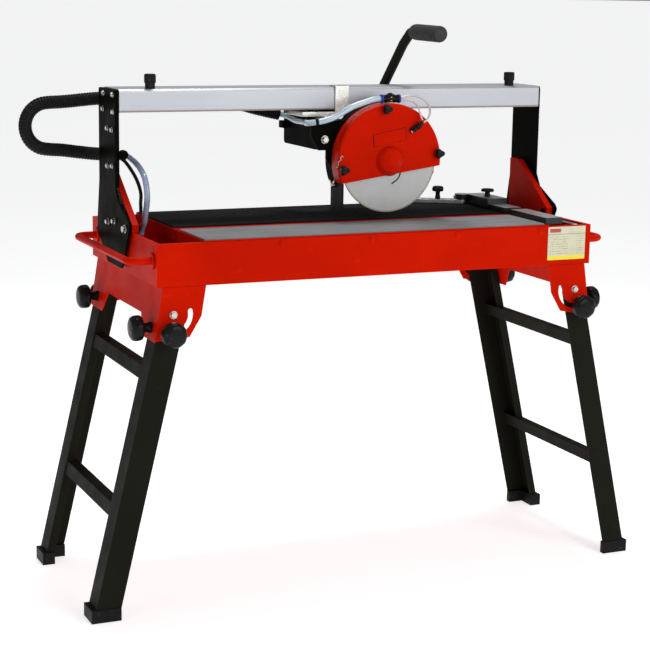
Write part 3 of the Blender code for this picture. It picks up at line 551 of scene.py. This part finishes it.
def eased(points, per_leg):
    """Points on a smooth curve through the given ones."""
    points = [Vector(p) for p in points]
    ends = [points[0] * 2 - points[1], *points, points[-1] * 2 - points[-2]]
    route = []
    for i in range(1, len(ends) - 2):
        a, b, c, d = ends[i - 1:i + 3]
        for k in range(per_leg):
            t = k / per_leg
            route.append(0.5 * ((2 * b) + (c - a) * t + (2 * a - 5 * b + 4 * c - d) * t ** 2
                                + (3 * b - a - 3 * c + d) * t ** 3))
    return [*route, points[-1]]


def run_length(route):
    return sum((b - a).length for a, b in zip(route, route[1:]))


def evenly(route, count):
    """The same line as count + 1 evenly spaced points."""
    total = run_length(route)
    placed, leg, passed = [], 0, 0.0
    for k in range(count + 1):
        want = total * k / count
        while leg < len(route) - 2 and passed + (route[leg + 1] - route[leg]).length < want:
            passed += (route[leg + 1] - route[leg]).length
            leg += 1
        span = (route[leg + 1] - route[leg]).length
        placed.append(route[leg].lerp(route[leg + 1], min(1.0, (want - passed) / span)))
    return placed


def swept(bm, route, radius, sides=16, swell=None):
    """Tube along a line, with capped ends and a UV map of metres along and turns around."""
    uv = bm.loops.layers.uv.verify()
    normal = (route[1] - route[0]).orthogonal().normalized()
    rings, runs, run = [], [], 0.0
    for i, point in enumerate(route):
        ahead = route[min(i + 1, len(route) - 1)] - route[max(i - 1, 0)]
        ahead.normalize()
        normal = (normal - ahead * normal.dot(ahead)).normalized()
        side = ahead.cross(normal)
        run += (point - route[i - 1]).length if i else 0.0
        ring = []
        for k in range(sides):
            angle = TAU * k / sides
            r = radius + (swell(run, angle) if swell else 0.0)
            ring.append(bm.verts.new(point + (normal * math.cos(angle) + side * math.sin(angle)) * r))
        rings.append(ring)
        runs.append(run)
    for i in range(len(rings) - 1):
        for k in range(sides):
            j = (k + 1) % sides
            face = bm.faces.new((rings[i][k], rings[i][j], rings[i + 1][j], rings[i + 1][k]))
            corners = ((runs[i], k), (runs[i], k + 1), (runs[i + 1], k + 1), (runs[i + 1], k))
            for loop, (along, turn) in zip(face.loops, corners):
                loop[uv].uv = (along, turn / sides)
    bm.faces.new(rings[0][::-1])
    bm.faces.new(rings[-1])


# ---------------------------------------------------------------- cords and hoses
def add_sleeve():
    route = eased([(-0.4180, 0.1380, 0.7990), (-0.4450, 0.1500, 0.7995), (-0.4780, 0.1580, 0.8030),
                   (-0.5060, 0.1600, 0.8068), (-0.5335, 0.1600, 0.8090), (-0.5501, 0.1600, 0.8123),
                   (-0.5643, 0.1600, 0.8217), (-0.5737, 0.1600, 0.8359), (-0.5770, 0.1600, 0.8525),
                   (-0.5737, 0.1600, 0.8691), (-0.5643, 0.1600, 0.8833), (-0.5501, 0.1600, 0.8927),
                   (-0.5335, 0.1600, 0.8960), (-0.5000, 0.1600, 0.8976), (-0.4370, 0.1600, 0.9027),
                   (-0.3800, 0.1600, 0.9025), (-0.3000, 0.1600, 0.9010), (-0.2200, 0.1580, 0.8985),
                   (-0.1600, 0.1530, 0.8905), (-0.1250, 0.1490, 0.8815), (-0.0980, 0.1445, 0.8750),
                   (-0.0750, 0.1390, 0.8700)], 6)
    pitch = 0.0052

    def wrap(run, angle):
        wave = math.sin(TAU * run / pitch + angle)
        cross = math.sin(TAU * run / pitch - angle)
        return 0.00028 * (wave + cross)

    fine = evenly(route, 900)
    bm = bmesh.new()
    swept(bm, fine, 0.0123, 22, wrap)
    piece = finish_piece("cable_sleeve_wrap", bm, RUBBER, None, replaces=("cable_sleeve",))
    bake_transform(piece)


def add_cord(name, points, radius, surface, replaces, bodies, count, sides=16):
    """Hose or cable along a route; with one body it rides on that body, with two it is left on no body."""
    route = evenly(eased(points, 6), count)
    bm = bmesh.new()
    swept(bm, route, radius, sides)
    if len(bodies) == 1:
        piece = finish_piece(name, bm, surface, bodies[0], replaces=replaces)
    else:
        piece = finish_piece(name, bm, surface, None, replaces=replaces)
        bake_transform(piece)


def add_cords():
    add_sleeve()
    add_cord("pump_hose",
             [(-0.4000, 0.0120, 0.6618), (-0.4000, 0.0105, 0.6690), (-0.4000, 0.0030, 0.6780),
              (-0.4000, -0.0070, 0.6875), (-0.4000, -0.0108, 0.6969), (-0.4000, -0.0220, 0.7243),
              (-0.4000, -0.0237, 0.7428), (-0.4000, -0.0118, 0.7673), (-0.4000, 0.0151, 0.7828),
              (-0.4000, 0.0525, 0.7929), (-0.4000, 0.0986, 0.7993), (-0.4012, 0.1109, 0.7996),
              (-0.4048, 0.1196, 0.8003), (-0.4105, 0.1271, 0.8014), (-0.4180, 0.1328, 0.8028)],
             0.0055, HOSE, ("water_hose_upper", "water_hose_lower"), ("base", "bevel_frame"),
             120)
    add_cord("power_lead",
             [(-0.3357, 0.2145, 0.6770), (-0.3362, 0.2131, 0.6861), (-0.3378, 0.2090, 0.6942),
              (-0.3444, 0.1870, 0.7169), (-0.3564, 0.1700, 0.7417), (-0.3726, 0.1550, 0.7647),
              (-0.3919, 0.1430, 0.7863), (-0.4060, 0.1420, 0.7925), (-0.4142, 0.1425, 0.7945)],
             0.0035, RUBBER, ("power_cable",), ("base", "bevel_frame"),
             70)
    add_cord("head_hose_clear",
             [(-0.0728, 0.1335, 0.8697), (-0.0700, 0.1250, 0.8690), (-0.0690, 0.1130, 0.8678),
              (-0.0690, 0.0989, 0.8659), (-0.0690, 0.0688, 0.8623), (-0.0690, 0.0344, 0.8621),
              (-0.0725, 0.0130, 0.8630), (-0.0795, -0.0040, 0.8633), (-0.0824, -0.0180, 0.8640),
              (-0.0780, -0.0300, 0.8655), (-0.0600, -0.0370, 0.8690), (-0.0360, -0.0400, 0.8765),
              (-0.0050, -0.0405, 0.8930), (0.0200, -0.0410, 0.9020), (0.0450, -0.0410, 0.9085),
              (0.0577, -0.0410, 0.9095)],
             0.0058, HEAD_HOSE, ("head_hose",), ("carriage_body", "head"),
             130)
    add_cord("nozzle_tube_outer",
             [(0.0985, -0.0410, 0.9085), (0.1100, -0.0420, 0.9135), (0.1270, -0.0450, 0.9150),
              (0.1440, -0.0500, 0.9080), (0.1540, -0.0560, 0.8950), (0.1530, -0.0620, 0.8810),
              (0.1450, -0.0660, 0.8710), (0.1380, -0.0675, 0.8655)],
             0.0020, FINE_TUBE, (), ("head",), 60, 10)
    add_cord("nozzle_tube_inner",
             [(0.0985, -0.0410, 0.9040), (0.1080, -0.0450, 0.9060), (0.1200, -0.0520, 0.9040),
              (0.1280, -0.0590, 0.8960), (0.1300, -0.0650, 0.8840), (0.1330, -0.0680, 0.8740),
              (0.1345, -0.0690, 0.8695)],
             0.0016, FINE_TUBE, (), ("head",), 50, 10)


# ---------------------------------------------------------------- hand knobs, bolts and small metalwork
def add_knob(node_name, body, axis, lobes, depth, head_share=0.55):
    """Detailed hand knob in the place of a CAD one, whose box gives its size."""
    low, high = (Vector(v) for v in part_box(node_name))
    axis = Vector(axis)
    k = max(range(3), key=lambda i: abs(axis[i]))
    size = high - low
    tall = size[k]
    radius = max(size[i] for i in range(3) if i != k) / 2
    base = (low + high) / 2 - axis * tall / 2
    neck = tall * (1 - head_share)
    head = tall - neck
    r = radius
    profile = [(0, 0), (0.42 * r, 0), (0.42 * r, neck * 0.30), (0.36 * r, neck * 0.42), (0.36 * r, neck * 0.82),
               (0.50 * r, neck * 0.97, 0.4), (0.86 * r, neck + 0.01 * head, 0.8),
                       (0.96 * r, neck + 0.10 * head, 1),
               (r, neck + 0.24 * head, 1), (r, neck + 0.50 * head, 1), (0.975 * r, neck + 0.66 * head, 1),
               (0.90 * r, neck + 0.80 * head, 0.9), (0.76 * r, neck + 0.90 * head, 0.6),
               (0.56 * r, neck + 0.955 * head, 0.2), (0.52 * r, neck + 0.945 * head),
                       (0.30 * r, neck + 0.975 * head),
               (0, neck + head)]
    bm = bmesh.new()
    turned(bm, profile, base, axis, 96, lobes, depth)
    finish_piece(node_name + "_moulded", bm, PLASTIC, body, replaces=(node_name,))


def add_knobs():
    for side, label in ((-1, "left"), (1, "right")):
        for end, where in ((-1, "front"), (1, "back")):
            add_knob(f"face_knob_{label}_{where}", f"face_screw_{label}_{where}", (0, end, 0), 10, 0.024)
            add_knob(f"side_knob_{label}_{where}", f"side_screw_{label}_{where}", (side, 0, 0), 10, 0.024)
        low, high = (Vector(v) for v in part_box(f"stop_knob_{label}"))
        r, tall = (high.x - low.x) / 2, high.z - low.z
        bm = bmesh.new()
        turned(bm, [(0, 0), (0.80 * r, 0), (0.86 * r, 0.03 * tall), (0.86 * r, 0.36 * tall),
                    (0.97 * r, 0.40 * tall, 1),
                    (r, 0.44 * tall, 1), (r, 0.90 * tall, 1), (0.95 * r, 0.96 * tall, 1), (0.80 * r, tall),
                    (0.35 * r, tall), (0.30 * r, 0.97 * tall), (0, 0.97 * tall)],
               (low.x + r, low.y + r, low.z), (0, 0, 1), 120, 20, 0.07)
        finish_piece(f"stop_knob_{label}_knurled", bm, PLASTIC, f"stop_{label}",
                     replaces=(f"stop_knob_{label}",))
    for number in (1, 2, 3):
        add_knob(f"guard_knob_{number}", f"guard_screw_{number}", (0, -1, 0), 3, 0.34, 0.72)
    add_knob("slider_knob", "fence_lock", (0, 0, 1), 6, 0.20, 0.42)
    add_knob("mitre_knob", "mitre_lock", (0, 0, 1), 6, 0.20, 0.42)


def add_bolt(name, base, axis, across, height, body):
    """Plated hex bolt head with a washer, standing on base."""
    bm = bmesh.new()
    turned(bm, [(0, 0), (across * 1.22, 0), (across * 1.22, 0.0007), (across * 1.16, 0.0010),
                (0, 0.0010)], base, axis)
    turned(bm, [(0, 0.0008), (across, 0.0008), (across, height * 0.86), (across * 0.86, height), (0, height)],
           base, axis, 6)
    finish_piece(name, bm, ZINC, body, soften=0.0003)


def add_bolts():
    for side, label in ((-1, "left"), (1, "right")):
        add_bolt(f"bevel_bolt_{label}", (side * POST_FACE[side], *BEVEL_PIVOT), (side, 0, 0),
                *BOLT_HEADS["bevel"],
                 "bevel_frame")
        for number, place in enumerate(((0.060, 0.6825), (0.022, 0.688)), 1):
            add_bolt(f"lock_bolt_{label}_{number}", (side * POST_FACE[side], *place), (side, 0, 0),
                    *BOLT_HEADS["lock"],
                     "bevel_frame")
        for number, place in enumerate(RAIL_BOLTS, 1):
            add_bolt(f"rail_bolt_{label}_{number}", (side * POST_FACE[side], *place), (side, 0, 0),
                    *BOLT_HEADS["rail"],
                     "bevel_frame")
        for end, where in ((-1, "front"), (1, "back")):
            x, z = LEG_PIVOT
            add_bolt(f"leg_bolt_{label}_{where}", (side * x, end * 0.1971, z), (0, end, 0), *BOLT_HEADS["leg"],
                     "base")
    add_bolt("head_pin_bolt", (-0.0475, -0.0218, 0.8324), (0, -1, 0), 0.0065, 0.0064, "head")


def add_wing_nut():
    bm = bmesh.new()
    centre = Vector((-0.0247, -0.0200, 0.7465))
    turned(bm, [(0, 0), (0.0046, 0), (0.0050, 0.002), (0.0038, 0.008), (0, 0.0082)], centre, (-1, 0, 0), 24)
    for turn in (-1, 1):
        wing = [(0.002, -0.0014), (0.0095, 0.0040), (0.0125, 0.0080), (0.0095, 0.0096), (0.0050, 0.0066),
                (0.001, 0.0028)]
        slab(bm, [(centre.y + turn * a, centre.z + b) for a, b in wing], "YZ", centre.x - 0.0066,
                centre.x - 0.0036)
    finish_piece("wing_nut", bm, ZINC, "head", soften=0.0005)
    clip = eased([(-0.0250, -0.0595, 0.8010), (-0.0290, -0.0615, 0.8045), (-0.0325, -0.0610, 0.8020),
                  (-0.0310, -0.0600, 0.7975), (-0.0350, -0.0585, 0.7940), (-0.0345, -0.0570, 0.7880),
                  (-0.0375, -0.0560, 0.7830), (-0.0355, -0.0550, 0.7790), (-0.0310, -0.0555, 0.7800),
                  (-0.0290, -0.0570, 0.7850)], 6)
    bm = bmesh.new()
    swept(bm, clip, 0.0008, 10)
    finish_piece("safety_clip", bm, ZINC, "head")


# ---------------------------------------------------------------- guard, blade and head fittings
def add_guard():
    """Pressed cover with a rounded rim, a central dome and a straight lower edge."""
    bm = bmesh.new()
    rim = 0.0052
    flat = GUARD_RADIUS - rim
    profile = [(0, GUARD_FRONT), (flat * 0.55, GUARD_FRONT), (flat, GUARD_FRONT)]
    profile += [(flat + rim * math.sin(a), GUARD_FRONT + rim * (1 - math.cos(a)))
                for a in (math.radians(d) for d in (15, 30, 45, 60, 75, 90))]
    profile += [(GUARD_RADIUS, (GUARD_FRONT + GUARD_BACK) / 2), (GUARD_RADIUS, GUARD_BACK)]
    turned(bm, [(r, -y) for r, y in profile], (GUARD_CENTRE.x, 0, GUARD_CENTRE.z), (0, -1, 0), 144)
    left, right = GUARD_EDGE
    along = (right - left).normalized()
    down = Vector((along.z, 0, -along.x))
    bmesh.ops.bisect_plane(bm, geom=[*bm.verts, *bm.edges, *bm.faces], plane_co=left, plane_no=down,
            clear_outer=True)
    cover = finish_piece("guard_shell", bm, GUARD_RED, "head", replaces=("guard_cover",))
    cover.modifiers.remove(cover.modifiers["Normals"])
    wall = cover.modifiers.new("Wall", "SOLIDIFY")
    wall.thickness = 0.0024
    wall.offset = -1
    round_off = cover.modifiers.new("Round", "BEVEL")
    round_off.width = 0.0006
    round_off.segments = 2
    round_off.limit_method = "ANGLE"
    round_off.angle_limit = math.radians(50)
    cover.modifiers.new("Normals", "WEIGHTED_NORMAL")

    bm = bmesh.new()
    turned(bm, [(0.0292, -0.0004), (0.0286, 0.0008), (0.0272, 0.0022), (0.0255, 0.0062), (0.0236, 0.0096),
                (0.0208, 0.0122), (0.0172, 0.0139), (0.0138, 0.0146), (0.0126, 0.0154), (0.0118, 0.0165),
                (0.0085, 0.0174), (0, 0.0178)], DOME_CENTRE, (0, -1, 0), 72)
    finish_piece("guard_dome", bm, GUARD_RED, "head")

    corner = [(0.035, 0.843), (0.1046, 0.8565), (0.1064, 0.833), (0.038, 0.819)]
    middle = Vector((sum(c[0] for c in corner) / 4, sum(c[1] for c in corner) / 4))

    def inset(share):
        return [tuple(middle + (Vector(c) - middle) * share) for c in corner]

    bm = bmesh.new()
    slab(bm, corner, "XZ", GUARD_FRONT - 0.0007, GUARD_FRONT + 0.0004)
    finish_piece("badge_border", bm, BADGE_DARK, "head",
                 soften=0.0004)
    bm = bmesh.new()
    slab(bm, inset(0.955), "XZ", GUARD_FRONT - 0.0013, GUARD_FRONT - 0.0004)
    finish_piece("badge_plate", bm, GUARD_RED, "head", soften=0.0004)

    bm = bmesh.new()
    slab(bm, [(0.1520, 0.7760), (0.1800, 0.7850), (0.1815, 0.7660), (0.1760, 0.7564), (0.1620, 0.7660)], "XZ",
         -0.0310, -0.0266)
    finish_piece("guard_tail", bm, GUARD_RED, "head", soften=0.0008)


def add_blade():
    """Thin core with a sintered rim that is a little thicker, and a painted direction line."""
    bm = bmesh.new()
    core, rim, hub = 0.0009, 0.0012, 0.0128
    profile = [(hub, -core), (0.0940, -core), (RIM_START, -rim), (0.0990, -rim), (BLADE_RADIUS, -0.7 * rim),
               (BLADE_RADIUS, 0.7 * rim), (0.0990, rim), (RIM_START, rim), (0.0940, core), (hub, core),
                       (hub, -core)]
    turned(bm, profile, BLADE_CENTRE, (0, -1, 0), 160)
    bmesh.ops.remove_doubles(bm, verts=bm.verts, dist=1e-6)
    finish_piece("blade_disc", bm, BLADE, "blade_body", replaces=("blade",))
    face = BLADE_CENTRE.y - core
    line = eased([(0.1030, face, 0.7720), (0.1005, face, 0.7625), (0.0945, face, 0.7545),
                  (0.0840, face, 0.7475)], 8)
    bm = bmesh.new()
    swept(bm, line, 0.0014, 10)
    for vert in bm.verts:
        vert.co.y = face + (vert.co.y - face) * 0.25
    finish_piece("direction_line", bm, RUBBER, "blade_body")


def add_head_fittings():
    valve_start, valve_end = Vector((0.0585, -0.041, 0.9095)), Vector((0.0975, -0.041, 0.9095))
    bm = bmesh.new()
    turned(bm, [(0.0042, 0), (0.0072, 0), (0.0078, 0.001), (0.0078, 0.0045), (0.0070, 0.0060), (0.0062, 0.0062),
                (0.0062, 0.0085), (0.0078, 0.0090), (0.0078, 0.0115), (0.0066, 0.0125), (0.0066, 0.0265),
                (0.0078, 0.0275), (0.0078, 0.0300), (0.0062, 0.0305), (0.0062, 0.0328), (0.0070, 0.0330),
                (0.0078, 0.0345), (0.0078, 0.0380), (0.0072, 0.0390), (0.0030, 0.0390)],
           valve_start, (1, 0, 0), 48)
    slab(bm, [(0.0715, -0.0450), (0.0845, -0.0450), (0.0845, -0.0370), (0.0715, -0.0370)], "XY", 0.9150, 0.9185)
    slab(bm, [(0.0740, -0.0425), (0.0820, -0.0425), (0.0820, -0.0395), (0.0740, -0.0395)], "XY", 0.9180, 0.9205)
    finish_piece("water_valve_body", bm, PLASTIC, "head", soften=0.0004,
            replaces=("water_valve",))
    for name, start in (("inlet", valve_start.x - 0.0005), ("outlet", valve_end.x - 0.0030)):
        bm = bmesh.new()
        turned(bm, [(0.0040, 0), (0.0080, 0), (0.0083, 0.0006), (0.0083, 0.0030), (0.0080, 0.0035),
                    (0.0040, 0.0035)],
               (start, -0.041, 0.9095), (1, 0, 0), 48)
        finish_piece(f"valve_ring_{name}", bm, BLUE, "head", soften=0.0003)
    bm = bmesh.new()
    turned(bm, [(0.0060, 0.0), (0.0070, 0.0004), (0.0070, 0.0036), (0.0060, 0.004)], (0.0760, -0.041, 0.9095),
           (1, 0, 0), 6)
    finish_piece("valve_nut", bm, BRASS, "head", soften=0.0004)

    tip = Vector((0.1150, -0.0640, 0.8485))
    tail = Vector((0.1370, -0.0670, 0.8665))
    along = (tail - tip).normalized()
    bm = bmesh.new()
    turned(bm, [(0, 0), (0.0036, 0), (0.0048, 0.0012), (0.0048, 0.0090), (0.0040, 0.0098), (0.0040, 0.0110),
                (0.0056, 0.0116), (0.0056, 0.0190), (0.0042, 0.0200), (0.0034, 0.0260), (0, 0.0262)],
           tip, along, 32)
    turned(bm, [(0, 0), (0.0050, 0), (0.0055, 0.0008), (0.0055, 0.0060), (0, 0.0062)],
           (tip.x + 0.003, GUARD_FRONT + 0.0005, tip.z + 0.0025), (0, -1, 0), 32)
    finish_piece("spray_nozzle", bm, PLASTIC, "head", soften=0.0003)
    bm = bmesh.new()
    turned(bm, [(0, 0), (0.0030, 0), (0.0034, 0.0006), (0.0034, 0.0022),
                (0, 0.0022)], tip - along * 0.0018, along, 24)
    finish_piece("nozzle_tip", bm, ZINC, "head")

    clamp_place = Vector((-0.0690, -0.0335, 0.8672))
    bm = bmesh.new()
    turned(bm, [(0.0060, -0.0030), (0.0069, -0.0030), (0.0072, -0.0026), (0.0072, 0.0026), (0.0069, 0.0030),
                (0.0060, 0.0030)], clamp_place, (0.93, -0.33, 0.16), 40)
    finish_piece("hose_strap", bm, RUBBER, "head")

    fins = []
    for k in range(14):
        start = 0.014 + k * 0.0070
        fins += [(0.0415, start), (0.0448, start + 0.0008), (0.0448, start + 0.0028), (0.0415, start + 0.0036)]
    bm = bmesh.new()
    profile = [(0, 0.0010), (0.020, 0.0010), (0.0430, 0.0015), (0.0448, 0.0040), (0.0448, 0.0120), *fins,
               (0.0448, 0.1130), (0.0448, 0.1260), (0.0425, 0.1325), (0.0360, 0.1362), (0.0350, 0.1345),
               (0.0310, 0.1345), (0.0300, 0.1372), (0.0220, 0.1378), (0.0210, 0.1360), (0.0170, 0.1360),
               (0.0160, 0.1380), (0, 0.1380)]
    turned(bm, profile, (BLADE_CENTRE.x, 0.003, BLADE_CENTRE.z), (0, 1, 0), 72)
    finish_piece("motor_finned", bm, BLACK, "head", replaces=("motor",))


# ---------------------------------------------------------------- handle, tray and table detail
def add_grip():
    along = GRIP_END - GRIP_START
    reach = along.length
    r = 0.0154
    bm = bmesh.new()
    turned(bm, [(0.0098, 0.0002), (0.0125, 0.0004), (0.0142, 0.0020), (0.0150, 0.0060), (r, 0.0130),
                (r, reach * 0.5), (r, reach - 0.0060), (0.0150, reach - 0.0030), (0.0142, reach - 0.0012),
                (0.0136, reach - 0.0006), (0, reach - 0.0006)], GRIP_START, along, 64)
    finish_piece("grip_sleeve", bm, FOAM, "carriage_body", replaces=("handle_grip",))
    bm = bmesh.new()
    turned(bm, [(0, reach - 0.0012), (0.0128, reach - 0.0012), (0.0132, reach - 0.0006),
                (0.0126, reach - 0.0002),
                (0.0060, reach), (0, reach)], GRIP_START, along, 48)
    cap = moulded("grip_cap", (0.040, 0.040, 0.042), 0.45)
    finish_piece("grip_end_cap", bm, cap, "carriage_body")


def add_tray_detail():
    for number, x in enumerate((-0.204, -0.028, 0.149, 0.327), 1):
        bm = bmesh.new()
        turned(bm, [(0.0070, -0.0002), (0.0067, 0.0008), (0.0056, 0.0022), (0.0036, 0.0032), (0, 0.0036)],
               (x, TRAY_FRONT, 0.667), (0, -1, 0), 32)
        finish_piece(f"press_mark_{number}", bm, RED, "base")
    low_x, high_x, low_z, high_z, turn = 0.344, 0.427, 0.609, 0.673, 0.0015
    outline = []
    for x, z, first in ((high_x, low_z, 270), (high_x, high_z, 0), (low_x, high_z, 90), (low_x, low_z, 180)):
        cx = x - turn if x == high_x else x + turn
        cz = z - turn if z == high_z else z + turn
        outline += [(cx + turn * math.cos(math.radians(first + d)),
                    cz + turn * math.sin(math.radians(first + d)))
                    for d in (0, 30, 60, 90)]
    bm = bmesh.new()
    slab(bm, outline, "XZ", TRAY_FRONT - 0.0007, TRAY_FRONT + 0.0002)
    finish_piece("data_plate_blank", bm, PRINT, "base")

    low, high = (Vector(v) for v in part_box("ruler_strip"))
    bm = bmesh.new()
    long_axis = 0 if high.x - low.x > high.y - low.y else 1
    start, end = low[long_axis], high[long_axis]
    side_low, side_high = low[1 - long_axis], high[1 - long_axis]
    count = int((end - start - 0.004) / 0.005)
    for k in range(count + 1):
        place = start + 0.002 + k * 0.005
        reach = 0.62 if k % 2 == 0 else 0.38
        stop = side_low + (side_high - side_low) * reach
        corners = [(place - 0.0003, side_low + 0.001), (place + 0.0003, side_low + 0.001),
                   (place + 0.0003, stop), (place - 0.0003, stop)]
        if long_axis == 1:
            corners = [(b, a) for a, b in corners]
        slab(bm, corners, "XY", high.z - 0.0001, high.z + 0.00015)
    finish_piece("ruler_marks", bm, PLASTIC, "base")

    wire = eased([(-0.4180, -0.150, 0.6120), (-0.4100, -0.120, 0.6080), (-0.3950, -0.090, 0.6070),
                  (-0.3750, -0.075, 0.6090), (-0.3620, -0.095, 0.6070), (-0.3660, -0.130, 0.6060)], 8)
    bm = bmesh.new()
    swept(bm, wire, 0.0014, 10)
    finish_piece("drain_chain_wire", bm, ZINC, "base")


def add_floor():
    low = cad_box[0][2]
    bm = bmesh.new()
    corners = [bm.verts.new((x * FLOOR_REACH, y * FLOOR_REACH, low)) for x, y in ((-1, -1), (1, -1), (1, 1),
               (-1, 1))]
    bm.faces.new(corners)
    mesh = bpy.data.meshes.new("floor")
    bm.to_mesh(mesh)
    bm.free()
    mesh.materials.append(floor_surface())
    floor = bpy.data.objects.new("floor", mesh)
    bpy.context.scene.collection.objects.link(floor)


add_camera()
add_lights()
finish_frame()
add_cords()
add_knobs()
add_bolts()
add_wing_nut()
add_guard()
add_blade()
add_head_fittings()
add_grip()
add_tray_detail()
add_floor()
